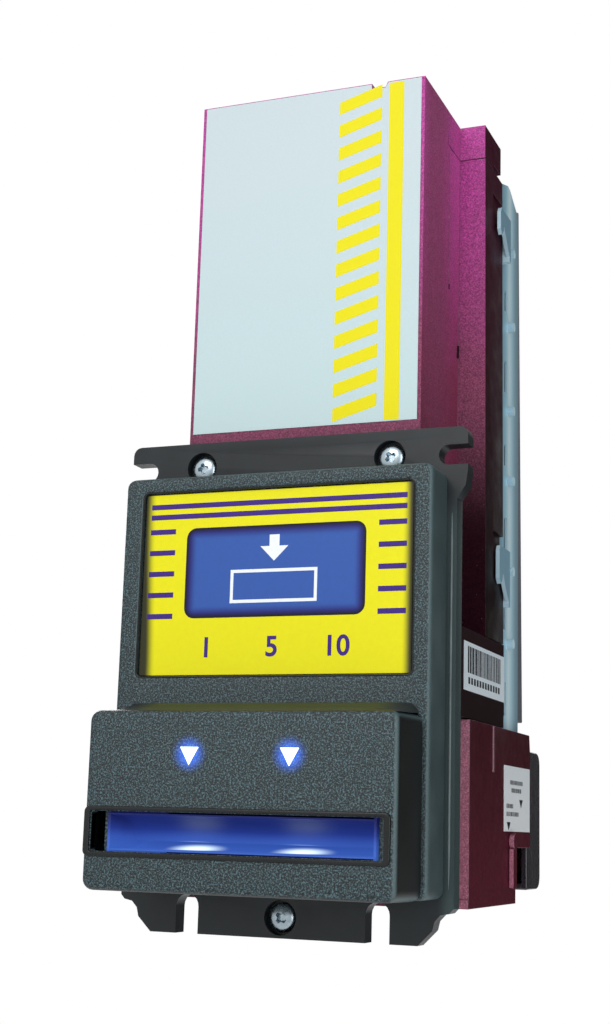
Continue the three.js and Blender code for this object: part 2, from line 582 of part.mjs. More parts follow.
function magazineShell() {
  const { half, front, rear, bottom, seam, top, lidFront } = MAG;
  const earHalf = (z) => EAR.halfLow + ((EAR.halfTop - EAR.halfLow) * (z - bottom)) / (top - bottom);
  let s = join(
    band(half, front, rear + 2, bottom, seam),
    band(half, front, lidFront, bottom, top),
    draftedBlock(earHalf(bottom), earHalf(seam), EAR.front, EAR.rear, bottom, seam),
  );
  s = cut(
    s,
    band(half - WALL, front + 2.2, rear + 3, bottom + 2.2, top - WALL),
    band(half - WALL, lidFront, rear + 3, bottom + 2.2, top + OVER),
    band(42.6, EAR.front + WALL, EAR.rear + OVER, bottom - OVER, top + OVER),
  );
  for (const sx of [-1, 1]) {
    s = join(s, rod("y", sx * SCREW.x, SCREW.upper, 3.6, front + 1, front + 6.4, 20));
    s = cut(s, rod("y", sx * SCREW.x, SCREW.upper, SCREW.holeR, front - OVER, front + 5, 12));
    s = join(s, cut(
      rod("x", BELT.y, BELT.high, 4, ...span(sx, 40.6, 43), 20),
      rod("x", BELT.y, BELT.high, 2.3, ...span(sx, 39.6, 42.6), 16),
    ));
    const lug = join(
      box(...span(sx, 36, 43), 56.7, 60.1, seam - 3.4, seam - 0.2),
      box(...span(sx, 36, 38.4), 56.7, 60.1, seam - 1, LID.pinZ),
      rod("x", LID.pinY, LID.pinZ, 1.9, ...span(sx, 36, 38.4), 20),
    );
    s = join(s, cut(lug, rod("x", LID.pinY, LID.pinZ, LID.pinR + 0.25, -50, 50, 16)));
    s = join(s, box(...span(sx, 34, 36.3), 45, 49.2, bottom, bottom + 3.5));
  }
  s = cut(s, prism("y", [[19.5, top + 1], [19.5, top - 1.6], [23.8, top - 1.6], [25, top + 1]], front - OVER, front + 4));
  for (const [z0, z1] of SIDE_HOOKS) {
    s = join(
      s,
      hingeKnuckle((z0 + z1) / 2 + 0.3, z1, -46.8, -45.2, 60, COVER.hingeY),
      box(-46.8, -43.5, 60, EAR.rear, (z0 + z1) / 2 + 0.3, z1),
    );
    s = cut(s, box(44, 47, 53, EAR.rear + OVER, z1 + 0.4, z1 + 4));
  }
  s = cut(s, rod("z", COVER.hingeX, COVER.hingeY, 1.45, 90, 240, 16));
  piece("magazine_shell", s, PURPLE);
}

// One knuckle of the side hinge with the web that carries it.
function hingeKnuckle(z0, z1, webFrom, webTo, y0, y1) {
  return join(
    rod("z", COVER.hingeX, COVER.hingeY, 2.5, z0, z1, 20),
    box(webFrom, webTo, y0, y1, z0, z1),
  );
}

function magazineLid() {
  const { half, seam, top, lidFront, rear } = MAG;
  const z0 = seam + FIT;
  const skin = join(
    band(half, lidFront + FIT, EAR.front + 2, z0, top),
    draftedBlock(EAR.halfTop, EAR.halfTop, EAR.front, LID.rear, z0, top),
  );
  let s = cut(
    skin,
    band(half - WALL, lidFront - OVER, rear + 3, z0 - OVER, top - WALL),
    band(EAR.halfTop - WALL, EAR.front + WALL, LID.rear - 1.8, z0 - OVER, top - WALL),
    band(60, 54, LID.rear + OVER, z0 - OVER, seam + 2.2),
  );
  for (const sx of [-1, 1]) {
    const lug = join(
      box(...span(sx, 38.9, 41.2), LID.pinY - 2.2, LID.pinY + 1.3, LID.pinZ, top - 1),
      rod("x", LID.pinY, LID.pinZ, 2.2, ...span(sx, 38.9, 41.2), 20),
    );
    s = join(s, lug);
  }
  s = cut(s, rod("x", LID.pinY, LID.pinZ, LID.pinR + 0.25, -41.6, 41.6, 16));
  // Below the pin the front edge leans back, and the rear wall is notched for the shell's lugs, so the lid can turn.
  s = cut(
    s,
    prism("x", [[lidFront - 1, z0 - 1], [lidFront + 1.3, z0 - 1], [lidFront + FIT, LID.pinZ], [lidFront - 1, LID.pinZ]], -60, 60),
    box(-38.8, -35.6, 55.5, LID.rear + OVER, z0 - OVER, top - WALL),
    box(35.6, 38.8, 55.5, LID.rear + OVER, z0 - OVER, top - WALL),
  );
  piece("magazine_lid", s, PURPLE);
  piece("lid_hinge_pin", rod("x", LID.pinY, LID.pinZ, LID.pinR, -41.4, 41.4, 16), STEEL);
}

function magazineInside() {
  const y = EAR.front + 2.6;
  const outer = [[-42.3, 92], [42.3, 92], [42.3, 236], [-42.3, 236]];
  const open = [[-EAR.window, 99], [-EAR.window, 231], [EAR.window, 231], [EAR.window, 99]];
  piece("stacker_frame", prism("y", outer, y, y + 2.4, [open]), BLACK);
  let plate = band(PLATE.half, PLATE.front, PLATE.front + PLATE.thick, PLATE.low, PLATE.high);
  for (const x of [-24, -8, 8, 24]) {
    plate = join(plate, box(x - 0.6, x + 0.6, PLATE.front - 1.6, PLATE.front + 1, PLATE.low + 6, PLATE.high - 6));
  }
  plate = cut(plate, rod("y", 0, SPRING.z, 15, PLATE.front - 4, PLATE.front, 28));
  piece("pressure_plate", plate, GLOSS_BLACK);
  piece("stack_spring", coil(SPRING.z, MAG.front + 3.2, PLATE.front - 1, SPRING.rWall, SPRING.rPlate, SPRING.wire,
    SPRING.turns), STEEL);
}

function labels() {
  const notch = [[-35.2, 145.8], [35.2, 145.8], [35.2, 251], [24.8, 251], [23.8, 249.4], [19.5, 249.4], [19.5, 251],
    [-35.2, 251]];
  piece("magazine_label", prism("y", notch, MAG.front - 0.2, MAG.front - 0.05), PAPER);
  piece("barcode_label", box(HEAD.half + 0.05, HEAD.half + 0.2, 19.6, HEAD.rear - 0.1, 70.3, 84.2), PAPER);
  piece("service_label", box(LOWER.half + 0.05, LOWER.half + 0.2, 63, 95.6, 28.4 + 3.2, 51.4), PAPER);
}

// ---------------------------------------------------------------- rear cover and stacker

function rearCover() {
  const { half, front, rear, bottom } = COVER;
  const side = [[front, bottom], [rear, bottom], [rear, 236], [88, 239], [79, 243.6], [76, 244], [front + 1, 241], [front, 240.7]];
  const core = [[front - OVER, bottom + WALL], [rear - WALL, bottom + WALL], [rear - WALL, 234.6], [86.6, 237.2],
    [78.6, 241.5], [front + 1, 239], [front - OVER, 238.7]];
  let s = cut(prism("x", side, -half, half), prism("x", core, -half + WALL, half - WALL));
  for (const [z0, z1] of SIDE_SLOTS) {
    s = cut(s, box(-half - OVER, half + OVER, 72, 75.4, z0, z1));
  }
  for (const z of SIDE_PINS) {
    for (const sx of [-1, 1]) {
      s = join(s, rod("x", 77, z, 1.5, ...span(sx, half - 1, half + 2), 16));
    }
  }
  for (const z of [84, 132, 182]) {
    s = cut(s, band(24, rear - WALL - OVER, rear + OVER, z, z + 3), band(24, rear - WALL - OVER, rear + OVER, z + 7, z + 10));
  }
  for (const [z0, z1] of SIDE_HOOKS) {
    const x0 = EAR.halfLow + 0.35;
    const hook = [[55, z1 - 0.4], [54, z1 - 2], [54, z0 + 3.4], [55.6, z0 + 1.8], [57.6, z0 + 3.4], [58.4, z0 + 5.4],
      [62, z0 + 1], [67, z0 - 4], [67, z1 - 0.4]];
    s = join(s, prism("x", hook, x0, x0 + 1.2), box(half - 1, x0 + 1.2, 65.3, 67, z0 - 4, z1 - 0.4));
    s = join(s, hingeKnuckle(z0, (z0 + z1) / 2 - 0.3, -46.4, -half + 0.5, 65.4, 68.2));
  }
  s = cut(s, rod("z", COVER.hingeX, COVER.hingeY, 1.45, 90, 240, 16));
  for (const sx of [-1, 1]) {
    const lug = (y0, z, h) => box(...span(sx, 17.2, 19.6), y0, rear - 1, z - h, z + h);
    const slotted = (y0, z, h) => box(...span(sx, 12.6, 15), y0, rear - 1, z - h, z + h);
    s = join(s, lug(78, SCISSOR.lowZ, 3), slotted(78.4, 207, 7));
  }
  s = cut(
    s,
    rod("x", SCISSOR.fixedY, SCISSOR.lowZ, SCISSOR.rodR + 0.3, -24, 24, 16),
    prism("x", [...arc(SCISSOR.fixedY, 210.4, 1.5, 0, 180, 8), ...arc(SCISSOR.fixedY, 203.8, 1.5, 180, 360, 8)], -16, 16),
  );
  s = join(s, box(-14, -12.6, 78, rear - 1, 86.5, 104));
  piece("rear_cover", s, ICE);
  piece("cover_hinge_pin", rod("z", COVER.hingeX, COVER.hingeY, 1.2, 103, 229, 16), STEEL);
}

function chutePlate() {
  const { front, thick, half, windowHalf, low, high } = CHUTE;
  const outer = [[-half, 66], [half, 66], [half, 236], [-half, 236]];
  const open = [[-windowHalf, low], [-windowHalf, high], [windowHalf, high], [windowHalf, low]];
  let s = prism("y", outer, front, front + thick, [open]);
  for (const x of [-36, -28.5, 28.5, 36]) s = join(s, box(x - 0.5, x + 0.5, front - 0.8, front + 0.5, 70, 232));
  piece("chute_plate", s, BLACK);
}

// The pusher rides on two crossing frames. Each frame is two bars tied by a rod at either end.
function stacker() {
  const { length, lowZ, fixedY, plateY, barW, barT, rodR } = SCISSOR;
  const lean = Math.asin((fixedY - plateY) / length);
  const topZ = lowZ + length * Math.cos(lean);
  const frame = (yLow, yTop, x, reach) => {
    const a = Math.atan2(yTop - yLow, topZ - lowZ);
    const dy = (barW / 2) * Math.cos(a);
    const dz = (barW / 2) * Math.sin(a);
    const bar = [[yLow + dy, lowZ - dz], [yTop + dy, topZ - dz], [yTop - dy, topZ + dz], [yLow - dy, lowZ + dz]];
    const bars = bothSides((s) => {
      const reachX = span(s, x, x + barT);
      return join(
        prism("x", bar, ...reachX),
        rod("x", yLow, lowZ, barW / 2, ...reachX, 20),
        rod("x", yTop, topZ, barW / 2, ...reachX, 20),
      );
    });
    return join(bars, rod("x", yLow, lowZ, rodR, -reach, reach, 14), rod("x", yTop, topZ, rodR, -reach, reach, 14));
  };
  let armA = frame(fixedY, plateY, 14.95, 20.6);
  const sector = [[fixedY, lowZ + 2.5], ...arc(fixedY, lowZ, SECTOR.r - 0.2, -140, -48, 14)];
  armA = join(armA, prism("x", sector, SECTOR.x0 - 0.6, SECTOR.x1), rod("x", fixedY, lowZ, 2.6, SECTOR.x0 - 0.6, SECTOR.x1, 16));
  piece("scissor_frame_outer", armA, STEEL);
  piece("scissor_frame_inner", frame(plateY, fixedY, 9.6, 15.6), STEEL);

  let plate = band(PUSHER.half, PUSHER.front, PUSHER.front + PUSHER.thick, PUSHER.low, PUSHER.high);
  for (const z of [118, 134, 150, 170, 188, 212]) {
    plate = cut(plate, band(6, PUSHER.front - OVER, PUSHER.front + PUSHER.thick + OVER, z, z + 9));
  }
  for (const sx of [-1, 1]) {
    plate = join(
      plate,
      box(...span(sx, 12.4, 14.6), PUSHER.front + 1, plateY + 2.6, lowZ - 3, lowZ + 3),
      box(...span(sx, 18.2, 20.2), PUSHER.front + 1, plateY + 2.6, 200, 214),
    );
  }
  plate = cut(
    plate,
    rod("x", plateY, lowZ, rodR + 0.3, -18, 18, 16),
    prism("x", [...arc(plateY, 210.4, 1.5, 0, 180, 8), ...arc(plateY, 203.8, 1.5, 180, 360, 8)], -24, 24),
  );
  piece("pusher_plate", plate, GLOSS_BLACK);

  const my = SECTOR.motorY;
  const mz = SECTOR.motorZ;
  piece("stacker_motor", cut(
    join(rod("x", my, mz, 6.2, -12.3, 18, 24), rod("x", my, mz, 2.4, 17, 19.2, 16)),
    rod("x", my, mz, 1.3, -14, 20, 14),
  ), STEEL);
  piece("stacker_pinion", join(rod("x", my, mz, 1, -8, SECTOR.x1 + 0.4, 12), gear(my, mz, SECTOR.pinionR, SECTOR.x0, SECTOR.x1, 0)), BRASS);
}

bezel();
decalPanel();
mouthGuides();
statusLights();
bezelScrews();
headChassis();
upperTrack();
lowerTrack();
lowerHousing();
interfaceBlock();
electronics();
releaseLatch();
transportDrive();
magazineShell();
magazineLid();
magazineInside();
labels();
rearCover();
chutePlate();
stacker();

root.position.z = -STUD_LINE;

export default root;
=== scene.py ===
"""Bill validator: materials, refined mouldings, printed labels, light and camera, in metres."""
import bpy
import bmesh
import json
import math
import random
from mathutils import Matrix, Vector, geometry


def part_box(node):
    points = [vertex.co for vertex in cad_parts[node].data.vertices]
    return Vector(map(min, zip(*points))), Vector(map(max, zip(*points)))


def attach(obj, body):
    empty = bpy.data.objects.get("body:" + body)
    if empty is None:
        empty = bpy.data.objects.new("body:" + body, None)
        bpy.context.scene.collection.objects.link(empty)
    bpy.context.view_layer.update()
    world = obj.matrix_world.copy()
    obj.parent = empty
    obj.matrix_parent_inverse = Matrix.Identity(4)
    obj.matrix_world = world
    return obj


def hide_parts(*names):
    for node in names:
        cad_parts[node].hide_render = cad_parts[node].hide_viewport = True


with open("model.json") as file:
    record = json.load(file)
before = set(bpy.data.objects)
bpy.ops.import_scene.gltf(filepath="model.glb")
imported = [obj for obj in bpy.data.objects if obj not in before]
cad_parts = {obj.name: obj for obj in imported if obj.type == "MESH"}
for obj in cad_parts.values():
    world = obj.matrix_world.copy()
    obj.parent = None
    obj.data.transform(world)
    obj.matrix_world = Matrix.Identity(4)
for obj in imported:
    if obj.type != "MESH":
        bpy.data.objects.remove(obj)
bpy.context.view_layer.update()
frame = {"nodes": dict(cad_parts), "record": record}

# ------------------------------------------------------------------ driving sizes, millimetres
# Heights are measured from the foot datum of the mounting tabs; the row's origin is the stud line.
MM = 0.001
STUD_LINE = 133.45
SCREW = dict(head_r=4.0, recess=3.1)
SCREWS = dict(right=(29.1, 133.9, 0.62), left=(-29.1, 133.9, 0.2), lower=(0.0, 6.65, 0.9))  # x, height, turn
FRAME = dict(half=46.0, front=-13.3, top=128.5, bottom=13.25)
WINDOW = dict(half=40.5, bottom=71.5, top=123.7, sunk=1.0, pocket=1.9)
NOSE = dict(half=43.6, front=-31.7, bottom=13.1, top=60.6, ledge=63.9)
MOUTH = dict(half=41.0, bottom=23.3, top=33.8, rim_half=43.1, rim_bottom=21.9, rim_top=35.1, proud=0.6)
# How much wider than the CAD the skin of the frame and nose is on the left, and how far left the mouth sits.
LEFTWARD = dict(frame=0.8, nose=1.0, mouth=1.2)
LED = dict(x=14.2, z=48.4, w=5.6, h=5.0)
MAG = dict(half=36.24, front=5.6)
COVER_SLOTS = ((223, 233), (199, 206), (171.5, 182), (147, 154), (119.5, 130), (94, 102), (67, 77.5))
SIDES = ((-1, "left"), (1, "right"))


def at(x, y, z):
    """A point given in millimetres with its height from the foot datum, in the row frame."""
    return Vector((x * MM, y * MM, (z - STUD_LINE) * MM))


# ------------------------------------------------------------------ node materials
class Shader:
    """A Principled material with short calls for the nodes that feed it."""

    def __init__(self, name, **sockets):
        self.mat = bpy.data.materials.new(name)
        self.mat.use_nodes = True
        self.nt = self.mat.node_tree
        self.bsdf = self.nt.nodes["Principled BSDF"]
        for key, value in sockets.items():
            self.bsdf.inputs[key.replace("_", " ")].default_value = value
        coord = self.nt.nodes.new("ShaderNodeTexCoord")
        self.place = coord.outputs["Object"]
        self.facing = coord.outputs["Normal"]

    def _put(self, socket, value):
        if hasattr(value, "links"):
            self.nt.links.new(value, socket)
        elif isinstance(value, (tuple, list)) and len(value) == 3 and len(socket.default_value) == 4:
            socket.default_value = (*value, 1.0)
        else:
            socket.default_value = value

    def set(self, **sockets):
        for key, value in sockets.items():
            self._put(self.bsdf.inputs[key.replace("_", " ")], value)
        return self

    def maths(self, op, a, b=0.0, clamp=False):
        n = self.nt.nodes.new("ShaderNodeMath")
        n.operation = op
        n.use_clamp = clamp
        self._put(n.inputs[0], a)
        self._put(n.inputs[1], b)
        return n.outputs[0]

    def inverse(self, value):
        return self.maths("SUBTRACT", 1.0, value)

    def drift(self, value, noise, amount, clamp=False):
        """A value moved up and down by a noise."""
        shift = self.maths("MULTIPLY", self.maths("SUBTRACT", noise, 0.5), amount)
        return self.maths("ADD", value, shift, clamp)

    def vector(self, op, a, b=None):
        """A vector operation on a linked vector and, if given, a constant one."""
        n = self.nt.nodes.new("ShaderNodeVectorMath")
        n.operation = op
        self.nt.links.new(a, n.inputs[0])
        if b is not None:
            n.inputs[1].default_value = b
        return n

    def axis(self, source, which):
        n = self.nt.nodes.new("ShaderNodeSeparateXYZ")
        self.nt.links.new(source, n.inputs[0])
        return n.outputs[which]

    def span(self, value, low, high):
        """0 at low, 1 at high, smooth between."""
        n = self.nt.nodes.new("ShaderNodeMapRange")
        n.interpolation_type = "SMOOTHSTEP"
        self._put(n.inputs["Value"], value)
        n.inputs["From Min"].default_value = low
        n.inputs["From Max"].default_value = high
        return n.outputs["Result"]

    def noise(self, size_mm, detail, rough, stretch=None):
        n = self.nt.nodes.new("ShaderNodeTexNoise")
        n.inputs["Scale"].default_value = 1.0 / (size_mm * MM)
        n.inputs["Detail"].default_value = detail
        n.inputs["Roughness"].default_value = rough
        source = self.place
        if stretch:
            m = self.nt.nodes.new("ShaderNodeMapping")
            m.inputs["Scale"].default_value = stretch
            self.nt.links.new(self.place, m.inputs["Vector"])
            source = m.outputs[0]
        self.nt.links.new(source, n.inputs["Vector"])
        return n.outputs["Fac"]

    def cells(self, size_mm):
        n = self.nt.nodes.new("ShaderNodeTexVoronoi")
        n.inputs["Scale"].default_value = 1.0 / (size_mm * MM)
        self.nt.links.new(self.place, n.inputs["Vector"])
        return n.outputs["Distance"]

    def ramp(self, fac, *stops):
        """stops: (position, colour), where a single number stands for a grey."""
        n = self.nt.nodes.new("ShaderNodeValToRGB")
        while len(n.color_ramp.elements) < len(stops):
            n.color_ramp.elements.new(0.5)
        for e, (where, colour) in zip(n.color_ramp.elements, stops):
            e.position = where
            e.color = (*colour, 1.0) if isinstance(colour, tuple) else (colour, colour, colour, 1.0)
        self._put(n.inputs[0], fac)
        return n.outputs["Color"]

    def mix(self, fac, a, b, blend="MIX"):
        n = self.nt.nodes.new("ShaderNodeMix")
        n.data_type = "RGBA"
        n.blend_type = blend
        self._put(n.inputs["Factor"], fac)
        self._put(n.inputs[6], a)
        self._put(n.inputs[7], b)
        return n.outputs[2]

    def bump(self, height, strength, depth_mm):
        n = self.nt.nodes.new("ShaderNodeBump")
        n.inputs["Strength"].default_value = strength
        n.inputs["Distance"].default_value = depth_mm * MM
        self._put(n.inputs["Height"], height)
        if self.bsdf.inputs["Normal"].is_linked:
            self.nt.links.new(self.bsdf.inputs["Normal"].links[0].from_socket, n.inputs["Normal"])
        self.nt.links.new(n.outputs[0], self.bsdf.inputs["Normal"])
        return self


def height(z):
    """The row-frame Z of a height above the foot datum, in metres."""
    return (z - STUD_LINE) * MM


def charcoal(name, painted_flank_low, painted_flank_high, glow=False):
    """Spark-eroded black plastic on faces that look forward, satin on the others, with painted light and
    shade: side faces in a flat painted tone, a painted highlight on the rounded right edges and, with glow, a
    painted halo of blue light round the lamps.
    """
    s = Shader(name, Roughness=0.5)
    grain = s.noise(0.46, 3.0, 0.62)
    fine = s.noise(0.2, 2.0, 0.6)
    blotch = s.noise(16.0, 2.0, 0.5)
    # Forward faces take the eroded grain, a real texture, and are also painted lighter than the sides as
    # painted light.
    front = s.span(s.maths("ABSOLUTE", s.axis(s.facing, 1)), 0.35, 0.9)
    eroded = s.maths("ADD", s.maths("MULTIPLY", grain, 0.75), s.maths("MULTIPLY", fine, 0.25))
    speck = s.ramp(eroded, (0.41, (0.001, 0.003, 0.004)), (0.5, (0.009, 0.020, 0.024)),
                   (0.60, (0.080, 0.150, 0.172)))
    # Side faces: one flat tone, painted shade on the nose and painted light on the frame's sides.
    plain = s.ramp(blotch, (0.3, painted_flank_low), (0.7, painted_flank_high))
    # Painted highlight: faces turned partly to the right, the rounded right edges, are painted paler.
    across = s.axis(s.facing, 0)
    corner = s.maths("MULTIPLY", s.span(across, 0.20, 0.55), s.inverse(s.span(across, 0.72, 0.97)))
    skin = s.mix(front, plain, speck)
    s.set(Base_Color=s.mix(s.maths("MULTIPLY", corner, 0.75), skin, (0.085, 0.135, 0.145)))
    s.set(Roughness=s.ramp(s.maths("ADD", s.maths("MULTIPLY", fine, 0.5), s.maths("MULTIPLY", blotch, 0.3)),
                           (0.2, 0.36), (0.7, 0.58)))
    s.bump(s.maths("MULTIPLY", eroded, s.maths("ADD", s.maths("MULTIPLY", front, 0.9), 0.1)), 0.75, 0.22)
    if glow:
        # Painted glow: a pool of blue lamp light painted as emission on the plastic round each lamp.
        painted_halo = None
        for side in (-1, 1):
            lamp = at(side * LED["x"], NOSE["front"], LED["z"] + 0.6)
            near = s.inverse(s.span(s.vector("DISTANCE", s.place, lamp).outputs["Value"], 0.0012, 0.0062))
            painted_halo = near if painted_halo is None else s.maths("ADD", painted_halo, near, clamp=True)
        s.set(Emission_Color=(0.03, 0.16, 1.0))
        s.set(Emission_Strength=s.maths("MULTIPLY", s.maths("POWER", painted_halo, 1.8), 0.9))
    return s.mat


def satin_black(name):
    s = Shader(name, Roughness=0.42)
    flow = s.noise(5.0, 4.0, 0.55)
    fine = s.noise(0.3, 2.0, 0.5)
    s.set(Base_Color=s.ramp(flow, (0.3, 0.014), (0.7, (0.028, 0.028, 0.032))))
    s.set(Roughness=s.ramp(flow, (0.2, 0.34), (0.8, 0.54)))
    return s.bump(fine, 0.25, 0.05).mat


def purple(name, side_low, side_top, front_low, front_mid, front_top, z_low, z_top, ears=False):
    """Frosted polycarbonate, finely speckled, with painted light: paler where it faces forward and its tone
    changing with height, brighter towards the top.
    """
    s = Shader(name, Roughness=0.4, Specular_IOR_Level=0.08)
    # Painted light: the tone changes with height, and forward faces are painted paler than the sides.
    z = s.span(s.axis(s.place, 2), height(z_low), height(z_top))
    front = s.span(s.maths("MULTIPLY", s.axis(s.facing, 1), -1.0), 0.3, 0.85)
    cloud = s.noise(7.0, 5.0, 0.6)
    speck = s.noise(0.42, 2.0, 0.75)
    dust = s.cells(1.7)
    zc = s.drift(z, cloud, 0.25, clamp=True)
    face = s.ramp(zc, (0.0, front_low), (0.5, front_mid), (1.0, front_top))
    flank = s.ramp(zc, (0.0, side_low), (1.0, side_top))
    if ears:
        # Painted light and shade on the ears: their sides behind and near the magazine's front painted lit,
        # brighter upwards, and their outer sides painted near black.
        y, x = s.axis(s.place, 1), s.maths("ABSOLUTE", s.axis(s.place, 0))
        depth = s.span(s.drift(y, cloud, 0.006), 0.022, 0.040)
        lit = s.ramp(zc, (0.0, (0.11, 0.026, 0.045)), (0.45, (0.25, 0.045, 0.10)), (1.0, (0.52, 0.085, 0.34)))
        near_face = s.inverse(s.span(y, 0.0056, 0.013))
        flank = s.mix(depth, flank, lit)
        flank = s.mix(s.maths("MULTIPLY", near_face, 0.6), flank, lit)
        painted_ear_side_shade = s.ramp(zc, (0.0, (0.006, 0.001, 0.001)), (1.0, (0.050, 0.004, 0.016)))
        flank = s.mix(s.span(x, 0.039, 0.043), flank, painted_ear_side_shade)
        # Painted shadow of the flange: the ears' front faces painted dark below about 118 to 165 mm.
        low = s.inverse(s.span(s.axis(s.place, 2), height(118.0), height(165.0)))
        face = s.mix(s.maths("MULTIPLY", s.span(y, 0.030, 0.040), low), face, (0.020, 0.004, 0.008))
    base = s.mix(front, flank, face)
    grit = s.ramp(speck, (0.32, (0.45, 0.42, 0.45)), (0.52, 1.0), (0.70, (1.9, 1.7, 1.8)))
    base = s.mix(0.8, base, grit, "MULTIPLY")
    base = s.mix(s.ramp(dust, (0.0, 0.55), (0.07, 0.0)), base, (0.62, 0.45, 0.58))
    s.set(Base_Color=base, Roughness=s.ramp(cloud, (0.25, 0.30), (0.75, 0.52)))
    return s.bump(speck, 0.35, 0.05).bump(cloud, 0.15, 0.25).mat


def ice(name):
    s = Shader(name, Roughness=0.34)
    flow = s.noise(14.0, 3.0, 0.5, stretch=(1.0, 1.0, 0.25))
    fine = s.noise(0.5, 2.0, 0.5)
    plain = s.ramp(flow, (0.25, (0.34, 0.53, 0.64)), (0.75, (0.50, 0.69, 0.79)))
    # Painted highlight and shade on the side faces: a bright band across their middle, darker towards front
    # and rear.
    y = s.span(s.drift(s.axis(s.place, 1), flow, 0.004), 0.0640, 0.0906)
    painted_highlight_band = s.ramp(y, (0.0, (0.20, 0.36, 0.46)), (0.28, (0.34, 0.62, 0.76)), (0.55, (0.74, 0.93, 0.97)),
                  (0.72, (0.50, 0.78, 0.90)), (1.0, (0.20, 0.33, 0.40)))
    sideways = s.span(s.maths("ABSOLUTE", s.axis(s.facing, 0)), 0.4, 0.8)
    s.set(Base_Color=s.mix(sideways, plain, painted_highlight_band))
    s.set(Roughness=s.ramp(flow, (0.2, 0.28), (0.8, 0.44)))
    return s.bump(fine, 0.2, 0.04).bump(flow, 0.12, 0.4).mat


def gloss_black(name):
    s = Shader(name, Roughness=0.2, Coat_Weight=0.35, Coat_Roughness=0.12)
    scuff = s.noise(3.0, 6.0, 0.65, stretch=(1.0, 1.0, 0.3))
    s.set(Base_Color=s.ramp(scuff, (0.35, (0.012, 0.010, 0.014)), (0.7, (0.034, 0.028, 0.038))))
    s.set(Roughness=s.ramp(scuff, (0.4, 0.16), (0.75, 0.34)))
    return s.bump(scuff, 0.1, 0.06).mat


def metal(name, colour, rough=0.3, brushed=False):
    s = Shader(name, Metallic=1.0, Roughness=rough)
    stretch = (0.06, 1.0, 1.0) if brushed else None
    wear = s.noise(0.9, 5.0, 0.6, stretch=stretch)
    patch = s.noise(3.5, 3.0, 0.5)
    tint = tuple(c * 0.72 for c in colour)
    s.set(Base_Color=s.mix(patch, tint, colour))
    s.set(Roughness=s.ramp(wear, (0.3, rough * 0.7), (0.7, min(1.0, rough * 1.6))))
    return s.bump(wear, 0.15, 0.04).mat


def light_guide(name):
    """Blue light guide: navy under its ceiling, brighter towards its floor, with two long bright patches."""
    s = Shader(name, Roughness=0.35, Specular_IOR_Level=0.2)
    z = s.axis(s.place, 2)
    rise = s.span(z, height(24.0), height(33.4))
    wash = s.noise(9.0, 2.0, 0.5, stretch=(0.35, 1.0, 1.0))
    rise = s.drift(rise, wash, 0.2, clamp=True)
    colour = s.ramp(rise, (0.0, (0.040, 0.110, 0.42)), (0.3, (0.034, 0.085, 0.37)),
                    (0.6, (0.016, 0.034, 0.20)), (1.0, (0.007, 0.010, 0.075)))
    hot = None
    for side in (-1, 1):
        away = s.vector("SUBTRACT", s.place, at(side * 15.4 - 2.8, -17.2, 24.7)).outputs[0]
        squashed = s.vector("MULTIPLY", away, (0.2, 0.25, 1.0)).outputs[0]
        near = s.inverse(s.span(s.vector("LENGTH", squashed).outputs["Value"], 0.0003, 0.0020))
        hot = near if hot is None else s.maths("ADD", hot, near, clamp=True)
    lit = s.mix(s.maths("POWER", hot, 0.9), colour, (0.80, 1.0, 1.0))
    s.set(Base_Color=s.ramp(rise, (0.0, (0.02, 0.05, 0.24)), (1.0, (0.006, 0.008, 0.06))))
    s.set(Emission_Color=lit, Emission_Strength=s.maths("ADD", 0.8, s.maths("MULTIPLY", hot, 0.5)))
    return s.mat


def lit_lens(name):
    s = Shader(name, Roughness=0.15, Base_Color=(0.75, 0.88, 1.0, 1.0))
    core = s.noise(1.6, 2.0, 0.5)
    s.set(Emission_Color=s.ramp(core, (0.3, (0.45, 0.72, 1.0)), (0.55, (0.95, 1.0, 1.0))))
    s.set(Emission_Strength=1.5)
    return s.mat


def board(name):
    s = Shader(name, Roughness=0.35)
    tracks = s.noise(1.6, 1.0, 0.2)
    mask = (0.010, 0.085, 0.030)
    s.set(Base_Color=s.ramp(tracks, (0.44, mask), (0.5, (0.022, 0.16, 0.055)), (0.56, mask)))
    return s.bump(tracks, 0.2, 0.04).mat


def nylon(name):
    s = Shader(name, Roughness=0.45, Subsurface_Weight=0.1, Subsurface_Radius=(0.002, 0.002, 0.0015))
    flow = s.noise(4.0, 3.0, 0.5)
    s.set(Base_Color=s.ramp(flow, (0.3, (0.70, 0.68, 0.60)), (0.7, (0.82, 0.80, 0.73))))
    return s.bump(flow, 0.1, 0.1).mat


def rubber(name):
    s = Shader(name, Roughness=0.8)
    grain = s.noise(0.35, 3.0, 0.6)
    s.set(Base_Color=s.ramp(grain, (0.3, 0.012), (0.7, 0.035)))
    s.set(Roughness=s.ramp(grain, (0.2, 0.7), (0.8, 0.92)))
    return s.bump(grain, 0.4, 0.06).mat


def paper(name, low, top, z_low, z_top):
    s = Shader(name, Roughness=0.5)
    z = s.span(s.axis(s.place, 2), height(z_low), height(z_top))
    fibre = s.noise(0.5, 3.0, 0.5)
    tone = s.noise(20.0, 2.0, 0.5)
    base = s.mix(s.drift(z, tone, 0.2, clamp=True), low, top)
    s.set(Base_Color=s.mix(0.25, base, s.ramp(fibre, (0.3, 0.85), (0.7, 1.0)), "MULTIPLY"))
    return s.bump(fibre, 0.08, 0.02).mat


def ink(name, colour, rough=0.3, shade=0.82):
    """Screen-printed ink with a faint unevenness."""
    s = Shader(name, Roughness=rough, Specular_IOR_Level=0.2)
    mottle = s.noise(1.2, 3.0, 0.6)
    s.set(Base_Color=s.mix(mottle, tuple(c * shade for c in colour), colour))
    s.set(Roughness=s.ramp(mottle, (0.3, rough * 0.85), (0.7, min(1.0, rough * 1.2))))
    return s.mat


